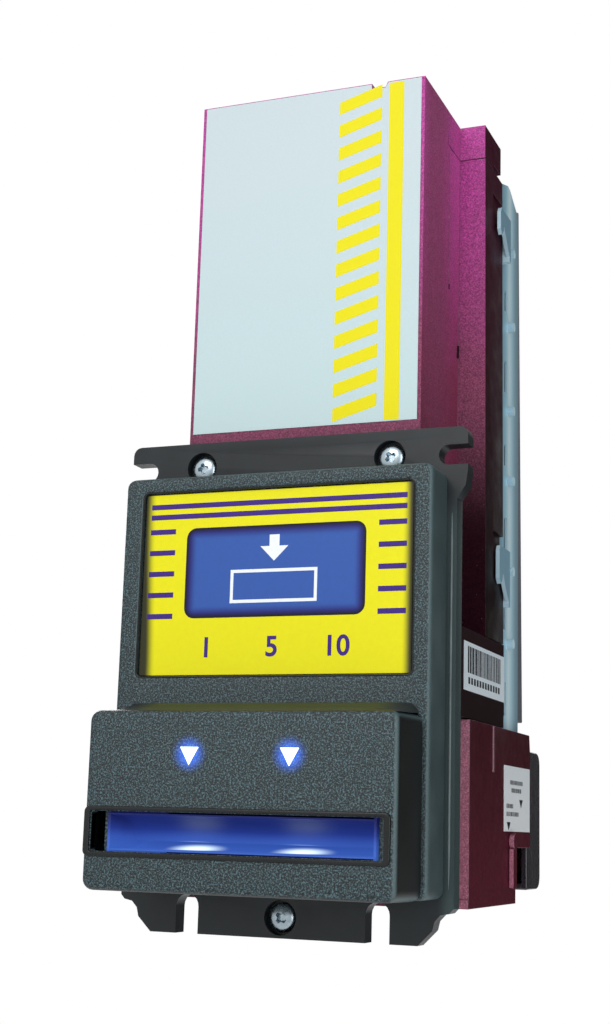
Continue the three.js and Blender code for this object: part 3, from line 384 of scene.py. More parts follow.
def window_film(name):
    """Yellow film that darkens to black at the left and right edges."""
    s = Shader(name, Roughness=0.3, Specular_IOR_Level=0.25)
    x = s.axis(s.place, 0)
    mottle = s.noise(1.5, 3.0, 0.6)
    yellow = s.mix(mottle, (0.74, 0.70, 0.003), (0.82, 0.765, 0.004))
    right = s.span(x, 0.0372, 0.0401)
    down = s.maths("MULTIPLY", s.axis(s.place, 2), -1.0)
    lean = s.maths("MULTIPLY", s.span(down, -height(118.0), -height(72.0)), 0.0016)
    left = s.span(s.maths("ADD", s.maths("MULTIPLY", x, -1.0), lean), 0.0368, 0.0402)
    edge = s.maths("POWER", s.maths("ADD", right, left, clamp=True), 1.2)
    s.set(Base_Color=s.mix(edge, yellow, (0.030, 0.030, 0.010)))
    return s.mat


def shaded_ink(name, dark, deep, light):
    """Ink whose tone follows the piece's own shade attribute, dark along the shape's edge."""
    s = Shader(name, Roughness=0.3, Specular_IOR_Level=0.25)
    a = s.nt.nodes.new("ShaderNodeAttribute")
    a.attribute_name = "shade"
    mottle = s.noise(1.2, 3.0, 0.6)
    tone = s.ramp(a.outputs["Fac"], (0.16, dark), (0.40, deep), (1.0, light))
    s.set(Base_Color=s.mix(0.18, tone, s.ramp(mottle, (0.3, 0.7), (0.7, 1.0)), "MULTIPLY"))
    return s.mat


def smooth_charcoal(name, low, high, rough=0.4, tint=(1.0, 1.25, 1.32), right=None):
    """Satin moulded plastic with a faint flow pattern and a fine tooth."""
    s = Shader(name, Roughness=rough, Specular_IOR_Level=0.36)
    flow = s.noise(12.0, 4.0, 0.55)
    fine = s.noise(0.35, 3.0, 0.6)
    tone = s.ramp(flow, (0.3, tuple(low * t for t in tint)), (0.7, tuple(high * t for t in tint)))
    # With right: the face towards the right edge, below the top, is painted lighter as painted light.
    if right:
        below = s.inverse(s.span(s.axis(s.place, 2), height(112.0), height(124.0)))
        tone = s.mix(s.maths("MULTIPLY", s.span(s.axis(s.place, 0), 0.0440, 0.0480), below), tone, right)
    s.set(Base_Color=tone)
    s.set(Roughness=s.ramp(fine, (0.25, rough - 0.06), (0.75, rough + 0.12)))
    return s.bump(fine, 0.3, 0.05).bump(flow, 0.08, 0.3).mat


def ledge_skin(name):
    """The satin slope over the nose, which carries the window's yellow-green reflection along its middle."""
    s = Shader(name, Roughness=0.36)
    x = s.maths("ABSOLUTE", s.axis(s.place, 0))
    fine = s.noise(0.35, 3.0, 0.6)
    streak = s.noise(3.0, 3.0, 0.5, stretch=(0.25, 1.0, 1.0))
    middle = s.inverse(s.span(x, 0.031, 0.040))
    shine = s.maths("ADD", 0.55, s.maths("MULTIPLY", streak, 0.6))
    tone = s.mix(s.maths("MULTIPLY", middle, shine, clamp=True), (0.014, 0.017, 0.017), (0.080, 0.092, 0.010))
    s.set(Base_Color=s.mix(0.3, tone, s.ramp(fine, (0.3, 0.6), (0.7, 1.3)), "MULTIPLY"))
    return s.bump(fine, 0.3, 0.05).mat


def edge_wear_and_highlight(name, low, high):
    """Paler plastic for the rounded edges of a moulding, partly rubbed wear and partly a painted edge
    highlight, with chips of the lightest tone.
    """
    s = Shader(name, Roughness=0.35)
    rub = s.noise(2.4, 5.0, 0.7)
    chip = s.noise(6.0, 4.0, 0.8)
    tone = s.ramp(rub, (0.38, low), (0.66, high))
    s.set(Base_Color=s.mix(s.span(chip, 0.66, 0.74), tone, tuple(min(1.0, 0.25 + c * 1.6) for c in high)))
    return s.bump(rub, 0.2, 0.05).mat


def frosted(name, low, high, z_low, z_top, rough=0.42):
    """Finely speckled frosted plastic, its tone rising with height."""
    s = Shader(name, Roughness=rough, Specular_IOR_Level=0.12)
    z = s.span(s.axis(s.place, 2), height(z_low), height(z_top))
    cloud = s.noise(6.0, 4.0, 0.6)
    speck = s.noise(0.4, 2.0, 0.7)
    base = s.ramp(s.drift(z, cloud, 0.3, clamp=True), (0.0, low), (1.0, high))
    s.set(Base_Color=s.mix(0.7, base, s.ramp(speck, (0.34, 0.55), (0.5, 1.0), (0.68, 1.6)), "MULTIPLY"))
    return s.bump(speck, 0.3, 0.05).mat


def pale_floor(name):
    s = Shader(name, Roughness=0.9)
    drift = s.noise(220.0, 3.0, 0.5)
    s.set(Base_Color=s.ramp(drift, (0.3, (0.86, 0.86, 0.87)), (0.7, (0.90, 0.90, 0.91))))
    return s.mat


# The frame's charcoal has its side faces painted lighter (painted light); the nose's has them painted near
# black (painted shade) and a painted glow round the lamps.
CHARCOAL = charcoal("moulded_charcoal", (0.040, 0.064, 0.068), (0.062, 0.094, 0.098))
CHARCOAL_PAINTED_GLOW_AND_SHADE = charcoal("moulded_charcoal_painted_glow_and_shade", (0.003, 0.004, 0.004), (0.006, 0.008, 0.008), glow=True)
# Both purples: forward faces painted paler, painted light; the maroon's forward strips are far paler than its
# dark sides.
PURPLE = purple("frosted_purple", (0.14, 0.034, 0.050), (0.34, 0.075, 0.19), (0.15, 0.055, 0.080),
                (0.24, 0.060, 0.125), (0.44, 0.070, 0.300), 88.0, 251.0, ears=True)
MAROON = purple("frosted_maroon", (0.090, 0.010, 0.022), (0.050, 0.006, 0.012), (0.40, 0.150, 0.215),
                (0.42, 0.165, 0.235), (0.44, 0.185, 0.260), 8.0, 64.0)
ICE = ice("ice_blue_moulding")
GLOSS = gloss_black("gloss_black_moulding")
BLACK = satin_black("satin_black_moulding")
ZINC = metal("zinc_plate", (0.50, 0.60, 0.66), 0.24)
STEEL = metal("brushed_steel", (0.62, 0.63, 0.64), 0.34, brushed=True)
BRASS = metal("turned_brass", (0.80, 0.58, 0.22), 0.28, brushed=True)
GUIDE = light_guide("blue_light_guide")
LENS = lit_lens("lit_lens")
BOARD = board("board_green")
NYLON = nylon("natural_nylon")
RUBBER = rubber("moulded_rubber")
LABEL = paper("label_stock", (0.51, 0.66, 0.68), (0.545, 0.64, 0.675), 145.0, 251.0)
LABEL_SMALL = paper("label_stock_small", (0.86, 0.90, 0.92), (0.72, 0.82, 0.88), 28.0, 84.0)
FILM = window_film("window_film")
INK_YELLOW = ink("ink_yellow", (0.80, 0.72, 0.001), 0.45, 0.96)
INK_BLACK = ink("ink_black", (0.012, 0.012, 0.016))
INK_WHITE = ink("ink_white", (0.86, 0.90, 0.94), 0.3, 0.94)
INK_VIOLET = ink("ink_violet", (0.055, 0.022, 0.23))
INK_BLUE = shaded_ink("ink_blue", (0.005, 0.004, 0.022), (0.016, 0.016, 0.16), (0.034, 0.100, 0.39))
# The flange's face is painted lighter towards its right edge, painted light.
FLANGE_SKIN = smooth_charcoal("satin_charcoal", 0.010, 0.017, 0.34, (0.85, 1.15, 1.35),
                              right=(0.034, 0.056, 0.058))
RIM_SKIN = smooth_charcoal("satin_charcoal_rim", 0.005, 0.009, 0.26)
LEDGE_SKIN = ledge_skin("satin_charcoal_ledge")
HEAD = frosted("frosted_deep_maroon", (0.010, 0.002, 0.003), (0.014, 0.003, 0.005), 64.0, 88.0, 0.5)
PURPLE_EDGE = edge_wear_and_highlight("rubbed_purple_painted_highlight", (0.10, 0.030, 0.055), (0.26, 0.10, 0.17))
MAROON_EDGE = edge_wear_and_highlight("rubbed_maroon_painted_highlight", (0.10, 0.040, 0.055), (0.24, 0.13, 0.16))
ICE_EDGE = edge_wear_and_highlight("rubbed_ice_painted_highlight", (0.50, 0.68, 0.78), (0.66, 0.80, 0.88))
# Painted shade: the tone of the dark sheets behind the cover's slots.
SLOT_SHADE = frosted("painted_slot_shade", (0.030, 0.050, 0.062), (0.045, 0.075, 0.090), 66.0, 236.0)
# The bead's tone is a painted highlight, far paler than the flange's.
BEAD_HIGHLIGHT_SKIN = smooth_charcoal("satin_charcoal_bead_painted_highlight", 0.10, 0.16, 0.3)
COVER_RAIL = frosted("rail_grey", (0.10, 0.115, 0.135), (0.17, 0.19, 0.215), 66.0, 226.0)
RED = frosted("red_button", (0.30, 0.008, 0.010), (0.42, 0.014, 0.014), 20.0, 40.0)
FLOOR = pale_floor("studio_floor")


# ------------------------------------------------------------------ mesh helpers
def adopt(name, bm, material, body, node=None, angle=35.0, extra=None):
    """Turns a bmesh into an object that rides a body, and may stand for a CAD node."""
    mesh = bpy.data.meshes.new(name)
    bm.to_mesh(mesh)
    bm.free()
    obj = bpy.data.objects.new(name, mesh)
    bpy.context.scene.collection.objects.link(obj)
    mesh.materials.append(material)
    if extra:
        mesh.materials.append(extra)
    if angle:
        for p in mesh.polygons:
            p.use_smooth = True
        mesh.set_sharp_from_angle(angle=math.radians(angle))
    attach(obj, body)
    if node:
        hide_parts(node)
    return obj


def bevelled(obj, width_mm, segments, edge_material=-1):
    b = obj.modifiers.new("edges", "BEVEL")
    b.width = width_mm * MM
    b.segments = segments
    b.limit_method = "ANGLE"
    b.angle_limit = math.radians(32.0)
    b.harden_normals = True
    b.use_clamp_overlap = True
    b.material = edge_material
    return obj


def welded(node):
    """A copy of a CAD node's mesh with its vertices welded and its coplanar triangles merged."""
    bm = bmesh.new()
    bm.from_mesh(frame["nodes"][node].data)
    bmesh.ops.remove_doubles(bm, verts=bm.verts, dist=1e-6)
    bmesh.ops.dissolve_limit(bm, angle_limit=math.radians(0.6), verts=bm.verts, edges=bm.edges,
                             delimit={"NORMAL"})
    bmesh.ops.dissolve_degenerate(bm, edges=bm.edges, dist=2e-6)
    bmesh.ops.recalc_face_normals(bm, faces=bm.faces)
    return bm


def refined(node, body, material, slot, width_mm, segments, edge):
    """A CAD node's shape with rounded edges, the rounding in its own paler finish if one is given, rubbed
    wear and a painted edge highlight.
    """
    obj = adopt("soft_" + node, welded(node), material, body, node, extra=edge)
    return bevelled(obj, width_mm, segments, edge_material=1 if edge else -1)


def carve(obj, *cutters):
    """Cuts closed shapes out of a piece, leaving a mesh with no modifiers."""
    for cutter in cutters:
        b = obj.modifiers.new("cut", "BOOLEAN")
        b.operation = "DIFFERENCE"
        b.solver = "EXACT"
        b.object = cutter
    bpy.context.view_layer.update()
    mesh = bpy.data.meshes.new_from_object(obj.evaluated_get(bpy.context.evaluated_depsgraph_get()))
    obj.modifiers.clear()
    obj.data = mesh
    for cutter in cutters:
        bpy.data.objects.remove(cutter)
    return obj


def solid_from(name, bm):
    mesh = bpy.data.meshes.new(name)
    bmesh.ops.recalc_face_normals(bm, faces=bm.faces)
    bm.to_mesh(mesh)
    bm.free()
    obj = bpy.data.objects.new(name, mesh)
    bpy.context.scene.collection.objects.link(obj)
    return obj


def loop_to(bm, lower, upper):
    """Joins two loops of equal length with quads."""
    n = len(lower)
    for i in range(n):
        bm.faces.new((lower[i], lower[(i + 1) % n], upper[(i + 1) % n], upper[i]))


def lofted(bm, rings, caps=(0, -1)):
    """Joins loops in order, fills the ones at the given places and turns all the faces outwards."""
    for p, q in zip(rings, rings[1:]):
        loop_to(bm, p, q)
    for i in caps:
        bm.faces.new(rings[i])
    bmesh.ops.recalc_face_normals(bm, faces=bm.faces)


def sheet_of(bm, lines):
    """Joins open lines of points in order into one sheet."""
    for p, q in zip(lines, lines[1:]):
        for i in range(len(p) - 1):
            bm.faces.new((p[i], p[i + 1], q[i + 1], q[i]))
    bmesh.ops.recalc_face_normals(bm, faces=bm.faces)


def rounded_rect(x0, x1, z0, z1, r, steps=6):
    """Points (x, z) round a rectangle, counter-clockwise seen from the front."""
    pts = []
    corners = ((x1 - r, z0 + r, -90), (x1 - r, z1 - r, 0), (x0 + r, z1 - r, 90), (x0 + r, z0 + r, 180))
    for cx, cz, start in corners:
        for i in range(steps + 1):
            a = math.radians(start + 90 * i / steps)
            pts.append((cx + r * math.cos(a), cz + r * math.sin(a)))
    return pts


def grown(rect, x, z):
    """A rectangle (x0, x1, z0, z1) grown by x at its left and right and by z above and below."""
    return rect[0] - x, rect[1] + x, rect[2] - z, rect[3] + z


def shell_of(name, rows, material, body, cap_last=False):
    """rows: (points, y) loops with equal counts, joined in order from the outside round to the inside."""
    bm = bmesh.new()
    rings = [[bm.verts.new(at(x, y, z)) for x, z in pts] for pts, y in rows]
    lofted(bm, rings, (-1,) if cap_last else ())
    return adopt(name, bm, material, body, angle=40.0)


def fillet_rows(rect, r, y_face, radius, steps):
    """Loops that turn from the sides of a rounded rectangle to its front face through a round edge."""
    rows = []
    for i in range(steps + 1):
        a = math.pi / 2 * i / steps
        inset = radius * (1 - math.cos(a))
        pts = rounded_rect(*grown(rect, -inset, -inset), max(0.25, r - inset))
        rows.append((pts, y_face + radius * (1 - math.sin(a))))
    return rows


def inward_rows(rect, r, y_face, radius, steps):
    """Loops that turn from a front face into an opening through a round edge."""
    rows = []
    for i in range(steps + 1):
        a = math.pi / 2 * i / steps
        outset = radius * (1 - math.sin(a))
        rows.append((rounded_rect(*grown(rect, outset, outset), r), y_face + radius * (1 - math.cos(a))))
    return rows


def open_behind(obj, rect, y_face):
    """Cuts a rectangular hole through the front face of a shell."""
    x0, x1, z0, z1 = rect
    bm = bmesh.new()
    bm.from_mesh(obj.data)
    across, up = (1, 0, 0), (0, 0, 1)
    for co, no in ((at(x0, 0, 0), across), (at(x1, 0, 0), across), (at(0, 0, z0), up), (at(0, 0, z1), up)):
        everything = bm.verts[:] + bm.edges[:] + bm.faces[:]
        bmesh.ops.bisect_plane(bm, geom=everything, plane_co=co, plane_no=no)
    lo, hi = at(x0, y_face, z0), at(x1, y_face, z1)
    inner = [f for f in bm.faces if all(abs(v.co.y - lo.y) < 1e-5 for v in f.verts)
             and lo.x < f.calc_center_median().x < hi.x and lo.z < f.calc_center_median().z < hi.z]
    bmesh.ops.delete(bm, geom=inner, context="FACES")
    bm.to_mesh(obj.data)
    bm.free()


# ------------------------------------------------------------------ flat printed shapes
def front_plane(y):
    return lambda a, b: Vector((a * MM, y * MM, (b - STUD_LINE) * MM))


def side_plane(x):
    return lambda a, b: Vector((x * MM, a * MM, (b - STUD_LINE) * MM))


def edge_distance(p, outline):
    """How far a point lies from a closed outline."""
    best = 1e9
    for (ax, ay), (bx, by) in zip(outline, outline[1:] + outline[:1]):
        dx, dy = bx - ax, by - ay
        t = max(0.0, min(1.0, ((p[0] - ax) * dx + (p[1] - ay) * dy) / max(dx * dx + dy * dy, 1e-12)))
        best = min(best, math.hypot(p[0] - ax - t * dx, p[1] - ay - t * dy))
    return best


def inside(p, outline):
    hit = False
    for (ax, ay), (bx, by) in zip(outline, outline[1:] + outline[:1]):
        if (ay > p[1]) != (by > p[1]) and p[0] < (bx - ax) * (p[1] - ay) / (by - ay) + ax:
            hit = not hit
    return hit


def artwork(name, outline, place, material, body, shade_width=None, pitch=0.7):
    """A flat printed shape. With shade_width its shade rises from 0 at the edge to 1 that far inside."""
    pts = [tuple(p) for p in outline]
    n = len(pts)
    if shade_width:
        xs, zs = [p[0] for p in pts], [p[1] for p in pts]
        x = min(xs)
        while x < max(xs):
            z = min(zs)
            while z < max(zs):
                if inside((x, z), pts[:n]) and edge_distance((x, z), pts[:n]) > 0.12:
                    pts.append((x, z))
                z += pitch
            x += pitch
    found = geometry.delaunay_2d_cdt([Vector(p) for p in pts], [], [list(range(n))], 1, 1e-6)
    bm = bmesh.new()
    verts = [bm.verts.new(place(p[0], p[1])) for p in found[0]]
    for f in found[2]:
        bm.faces.new([verts[i] for i in f])
    obj = adopt(name, bm, material, body, angle=None)
    if shade_width:
        layer = obj.data.attributes.new("shade", "FLOAT", "POINT")
        layer.data.foreach_set("value", [min(1.0, edge_distance(p, pts[:n]) / shade_width) for p in found[0]])
    return obj


def marks(name, shapes, place, material, body):
    """Several small flat shapes as one printed piece."""
    bm = bmesh.new()
    for pts in shapes:
        bm.faces.new([bm.verts.new(place(a, b)) for a, b in pts])
    bmesh.ops.triangulate(bm, faces=bm.faces[:])
    return adopt(name, bm, material, body, angle=None)


def bar(a0, a1, b0, b1):
    return [(a0, b0), (a1, b0), (a1, b1), (a0, b1)]


def letters(name, words, a, b, cap, place, material, body):
    """Plain characters as a flat printed shape; cap is their height, a and b the middle of the line."""
    text = bpy.data.curves.new(name + "_text", "FONT")
    text.body = words
    text.size = cap / 0.69
    text.align_x = "CENTER"
    text.align_y = "CENTER"
    text.offset = 0.03 * cap
    text.fill_mode = "BOTH"
    text.resolution_u = 6
    tmp = bpy.data.objects.new(name + "_tmp", text)
    bpy.context.scene.collection.objects.link(tmp)
    bpy.context.view_layer.update()
    mesh = bpy.data.meshes.new_from_object(tmp.evaluated_get(bpy.context.evaluated_depsgraph_get()))
    bpy.data.objects.remove(tmp)
    bm = bmesh.new()
    bm.from_mesh(mesh)
    bpy.data.meshes.remove(mesh)
    middle = [(min(v.co[i] for v in bm.verts) + max(v.co[i] for v in bm.verts)) / 2 for i in (0, 1)]
    for v in bm.verts:
        v.co = place(a + v.co[0] - middle[0], b + v.co[1] - middle[1])
    return adopt(name, bm, material, body, angle=None)


# ------------------------------------------------------------------ bezel
BEZEL_SLOT = "bezel_charcoal"
WINDOW_RECT = (-WINDOW["half"], WINDOW["half"], WINDOW["bottom"], WINDOW["top"])
MOUTH_RECT = (-MOUTH["half"] - LEFTWARD["mouth"], MOUTH["half"] - LEFTWARD["mouth"], MOUTH["bottom"],
              MOUTH["top"])
MOUTH_DEPTH = 2.4


def flange_plate():
    """The CAD bezel cut off at its flange's front face, with round edges."""
    plate = welded("bezel")
    everything = plate.verts[:] + plate.edges[:] + plate.faces[:]
    bmesh.ops.bisect_plane(plate, geom=everything, plane_co=at(0, -0.02, 0), plane_no=(0, -1, 0),
                           clear_outer=True, dist=1e-7)
    bevelled(adopt("flange_plate", plate, FLANGE_SKIN, "frame", "bezel"), 0.55, 4)


def frame_surround():
    """The raised frame, round at its outer edge and into the window, and open behind the nose."""
    f, corner, window_corner = FRAME, 2.6, 1.6
    outer = (-f["half"] - LEFTWARD["frame"], f["half"], f["bottom"], f["top"])
    hole = grown(WINDOW_RECT, 0.5, 0.5)
    behind_nose = (-42.6, 42.6, 14.6, 61.0)
    rows = [(rounded_rect(*outer, corner), 0.4)]
    rows += fillet_rows(outer, corner, f["front"], 1.5, 7)
    rows += inward_rows(hole, window_corner, f["front"], 0.55, 4)
    rows.append((rounded_rect(*hole, window_corner), f["front"] + WINDOW["pocket"]))
    shell = shell_of("frame_surround", rows, CHARCOAL, "frame", cap_last=True)
    open_behind(shell, behind_nose, f["front"])


def window_bead():
    """A thin round bead where the frame meets the window."""
    lip, thick = grown(WINDOW_RECT, 0.45, 0.45), 0.32
    rows = []
    for i in range(9):
        a = 2 * math.pi * i / 8
        g = thick * math.cos(a)
        rows.append((rounded_rect(*grown(lip, g, g), 1.5), FRAME["front"] + 0.42 - thick * math.sin(a)))
    shell_of("window_bead", rows, RIM_SKIN, "frame")


def nose_moulding():
    """The nose's sides and front, round at the edge and open at the mouth."""
    n = NOSE
    outer = (-n["half"] - LEFTWARD["nose"], n["half"], n["bottom"], n["top"])
    root = (outer[0] - 0.4, outer[1] + 0.4, outer[2] - 0.2, outer[3] + 0.3)
    mouth = rounded_rect(*MOUTH_RECT, 0.8)
    rows = [(rounded_rect(*root, 3.2), FRAME["front"] + 0.2)]
    rows += fillet_rows(outer, 3.0, n["front"], 1.8, 7)
    rows += [(mouth, n["front"]), (mouth, n["front"] + MOUTH_DEPTH)]
    shell_of("nose_moulding", rows, CHARCOAL_PAINTED_GLOW_AND_SHADE, "frame")


def mouth_rim():
    """The proud rim round the mouth, with a step inside it."""
    m, front = MOUTH, NOSE["front"]
    shift = LEFTWARD["mouth"]
    rim = (-m["rim_half"] - shift, m["rim_half"] - shift, m["rim_bottom"], m["rim_top"])
    face = front - m["proud"]
    step = rounded_rect(*grown(MOUTH_RECT, 0.3, 0.15), 0.8)
    inner = rounded_rect(*MOUTH_RECT, 0.7)
    rows = [(rounded_rect(*rim, 1.6), front + 3.0)]
    rows += fillet_rows(rim, 1.6, face, 0.45, 4)
    rows += inward_rows(grown(MOUTH_RECT, 0.35, 0.2), 0.9, face, 0.25, 3)
    rows += [(step, face + 1.0), (inner, face + 1.15), (inner, front + MOUTH_DEPTH)]
    shell_of("mouth_rim", rows, RIM_SKIN, "frame")


def mouth_ends():
    """The cheeks at both ends of the mouth, and inside them the blue walls that close the light guide."""
    back, low, high = 4.0, 22.8, 34.4
    parts = (("cheek", CHARCOAL_PAINTED_GLOW_AND_SHADE, BEZEL_SLOT, 37.9, 39.4, NOSE["front"] + 2.5),
             ("glow", GUIDE, "blue_light_guide", 37.0, 37.8, -30.6))
    for side, tag in SIDES:
        for part, material, slot, x_in, x_out, front in parts:
            bm = bmesh.new()
            profile = [(front, low), (back, low), (back, high), (front, high)]
            lofted(bm, [[bm.verts.new(at(side * x, y, z)) for y, z in profile]
                        for x in (x_in, (x_in + x_out) / 2, x_out)])
            bevelled(adopt(f"mouth_{part}_{tag}", bm, material, "frame"), 0.2, 2)


def nose_ledge():
    """The sloped ledge over the nose, its back edge running up into the frame."""
    n, half, ease_in = NOSE, 43.2, 2.6
    across = [-43.0, -42.2, -40.8, -38.5, -30, -15, 0, 15, 30, 38.5, 40.8, 42.2, 43.0]
    climb, depth = n["ledge"] + 0.4 - n["top"], FRAME["front"] - n["front"] - 1.4
    bm = bmesh.new()
    lines = []
    for x in across:
        ease = min(1.0, (half - abs(x)) / ease_in) ** 0.5
        line = []
        for i in range(9):
            t = i / 8
            rise = climb * (0.62 * t + 0.38 * t ** 4) * ease
            line.append(bm.verts.new(at(x, n["front"] + 1.6 + t * depth, n["top"] - 0.35 + rise)))
        lines.append(line)
    sheet_of(bm, lines)
    adopt("nose_ledge", bm, LEDGE_SKIN, "frame", angle=60)


def light_windows():
    """The two lit triangles on the nose, in the place of the CAD lenses."""
    w, h, front = LED["w"] / 2, LED["h"] / 2, NOSE["front"]
    for side, tag in SIDES:
        x, z = side * LED["x"], LED["z"]
        outline = [(x - w, z + h), (x + w, z + h), (x, z - h)]
        bm = bmesh.new()
        rings = [[bm.verts.new(at(a, y, b)) for a, b in outline] for y in (front + 2.2, front - 0.06)]
        lofted(bm, rings, (-1,))
        bevelled(adopt("light_window_" + tag, bm, LENS, "frame", "status_lens_" + tag), 0.22, 3)


def cross_cut(x, z, seat, turn):
    """A closed cutter for one slot of a screw's cross recess, narrower towards its bottom."""
    c, s = math.cos(turn), math.sin(turn)
    bm = bmesh.new()
    rings = []
    for long, wide, y in ((2.15, 0.95, seat - 3.2), (0.9, 0.7, seat - 1.1)):
        pts = [(long, -wide / 2), (long, wide / 2), (wide / 2, wide), (-wide / 2, wide), (-long, wide / 2),
               (-long, -wide / 2), (-wide / 2, -wide), (wide / 2, -wide)]
        rings.append([bm.verts.new(at(x + p * c - q * s, y, z + p * s + q * c)) for p, q in pts])
    lofted(bm, rings[::-1])
    return solid_from("cross_cut", bm)


def screw(tag, x, z, turn):
    """A pan-head screw with a cross recess, standing in its counterbore."""
    head, seat, sides = SCREW["head_r"], SCREW["recess"] - 0.1, 40
    # The dome's profile: how far in from the head's edge, and how far out from its seat.
    dome = ((0.06, 0.0), (0.0, 0.15), (0.0, 0.9), (0.12, 1.3), (0.4, 1.65), (0.9, 2.0), (1.6, 2.25),
            (2.6, 2.42), (3.5, 2.48))
    bm = bmesh.new()
    rings = []
    for inset, rise in dome:
        r = head - inset
        rings.append([bm.verts.new(at(x + r * math.cos(a), seat - rise, z + r * math.sin(a)))
                      for a in (2 * math.pi * i / sides for i in range(sides))])
    lofted(bm, rings)
    obj = adopt("pan_head_" + tag, bm, ZINC, "frame", "bezel_screw_" + tag, 50)
    carve(obj, *[cross_cut(x, z, seat, turn + k * math.pi / 2) for k in range(2)])
    obj.data.set_sharp_from_angle(angle=math.radians(40))


flange_plate()
frame_surround()
window_bead()
nose_moulding()
mouth_rim()
mouth_ends()
nose_ledge()
light_windows()
for tag, where in SCREWS.items():
    screw(tag, *where)


# ------------------------------------------------------------------ printed labels
def window_print():
    """A plain blue panel with an arrow over a note outline, and straight lines and three values round it."""
    face, slot = FRAME["front"] + WINDOW["sunk"], "decal_print"
    ground, over = front_plane(face - 0.02), front_plane(face - 0.04)
    panel = rounded_rect(-27.0, 27.0, 87.6, 113.4, 3.0)
    artwork("print_panel", panel, ground, INK_BLUE, "frame", 3.2, 0.6)
    half, low, high, line = 13.0, 91.6, 101.0, 0.9
    note = [bar(-half, half, low, low + line), bar(-half, half, high - line, high)]
    note += [bar(x, x + line, low + line, high - line) for x in (-half, half - line)]
    marks("print_note", note, over, INK_WHITE, "frame")
    stem, barb, tail, neck, tip = 1.5, 4.2, 110.6, 107.4, 103.2
    arrow = [(-stem, tail), (-stem, neck), (-barb, neck), (0.0, tip)]
    arrow += [(barb, neck), (stem, neck), (stem, tail)]
    artwork("print_arrow", arrow, over, INK_WHITE, "frame")
    edge, tick, thick = 38.6, 8.0, 1.5
    lines = [bar(-edge, edge, z, z + thick) for z in (116.2, 119.2)]
    lines += [bar(x, x + tick, z, z + thick) for x in (-edge, edge - tick)
              for z in (87.6 + 6.075 * k for k in range(5))]
    marks("print_lines", lines, ground, INK_VIOLET, "frame")
    for words, x in (("1", -19.7), ("5", 0.0), ("10", 19.7)):
        place = front_plane(face - 0.03)
        letters("print_value_" + words, words, x, 79.4, 5.4, place, INK_VIOLET, "frame")


def label_print():
    """A plain stripe and a row of equal slanted bars on the magazine's label."""
    sheet = front_plane(MAG["front"] - 0.22)
    left, right, slant, pitch = 9.4, 22.9, 4.0, 7.38
    marks("label_stripe", [bar(25.2, 29.8, 146.2, 250.6)], sheet, INK_YELLOW, "frame")
    bars = [[(left, z), (right, z + slant), (right, z + 2 * slant), (left, z + slant)]
            for z in (146.6 + pitch * k for k in range(14))]
    marks("label_bars", bars, sheet, INK_YELLOW, "frame")


def code_print():
    """Random bars over a row of ticks, in the place of the bar code and its number."""
    place = side_plane(45.72)
    bars, y, last = [], 23.4, 60.0
    while y < last:
        wide = random.choice((0.5, 0.7, 1.1, 1.5))
        bars.append(bar(y, min(last + 0.2, y + wide), 75.4, 83.0))
        y += wide + random.choice((0.35, 0.45, 0.6))
    ticks = [bar(y0, y0 + 1.9, 72.3, 74.2) for y0 in (24.0 + 3.0 * k for k in range(12))]
    marks("code_bars", bars, place, INK_BLACK, "frame")
    marks("code_ticks", ticks, place, INK_BLACK, "frame")


def notice_print():
    """Dashes and two arrow marks, in the place of the service label's words."""
    rows = ((70.2, 86.2, 45.8), (72.0, 84.6, 43.4), (66.0, 74.0, 38.6), (66.0, 81.0, 36.2))
    half, drop, gap = 2.2, 2.6, 0.5
    lines = []
    for y, y_end, z in rows:
        while y < y_end:
            w = random.choice((0.7, 1.0, 1.3))
            lines.append(bar(y, min(y_end, y + w), z, z + 1.3))
            y += w + gap
    for y, z in ((84.0, 41.4), (68.5, 34.4)):
        lines.append([(y - half, z), (y + half, z), (y, z - drop)])
    marks("notice_lines", lines, side_plane(46.22), INK_BLACK, "lower_unit")


window_print()
label_print()
random.seed(11)
code_print()
notice_print()

# ------------------------------------------------------------------ mouldings with rounded edges, worn and painted with an edge highlight
REFINED = [
    ("magazine_shell", "frame", PURPLE, "purple_plastic", 0.45, 3, PURPLE_EDGE),
    ("magazine_lid", "lid", PURPLE, "purple_plastic", 0.45, 3, PURPLE_EDGE),
    ("head_chassis", "frame", HEAD, "purple_plastic", 0.35, 2, None),
    ("lower_housing", "lower_unit", MAROON, "maroon_plastic", 0.45, 3, MAROON_EDGE),
    ("release_latch", "latch", MAROON, "maroon_plastic", 0.4, 3, MAROON_EDGE),
    ("rear_cover", "cover", ICE, "ice_blue_plastic", 0.6, 3, ICE_EDGE),
    ("interface_cover", "frame", GLOSS, "gloss_black_plastic", 2.2, 5, None),
    ("mouth_guide_upper", "frame", GUIDE, "blue_light_guide", 0.2, 2, None),
    ("mouth_guide_lower", "frame", GUIDE, "blue_light_guide", 0.2, 2, None),
    ("decal_panel", "frame", FILM, "decal_print", 0.15, 2, None),
    ("magazine_label", "frame", LABEL, "paper_label", 0.04, 1, None),
    ("barcode_label", "frame", LABEL_SMALL, "paper_label", 0.04, 1, None),
    ("service_label", "lower_unit", LABEL_SMALL, "paper_label", 0.04, 1, None),
    ("pressure_plate", "press", GLOSS, "gloss_black_plastic", 0.4, 2, None),
    ("pusher_plate", "pusher", GLOSS, "gloss_black_plastic", 0.3, 2, None),
]
for row in REFINED:
    refined(*row)


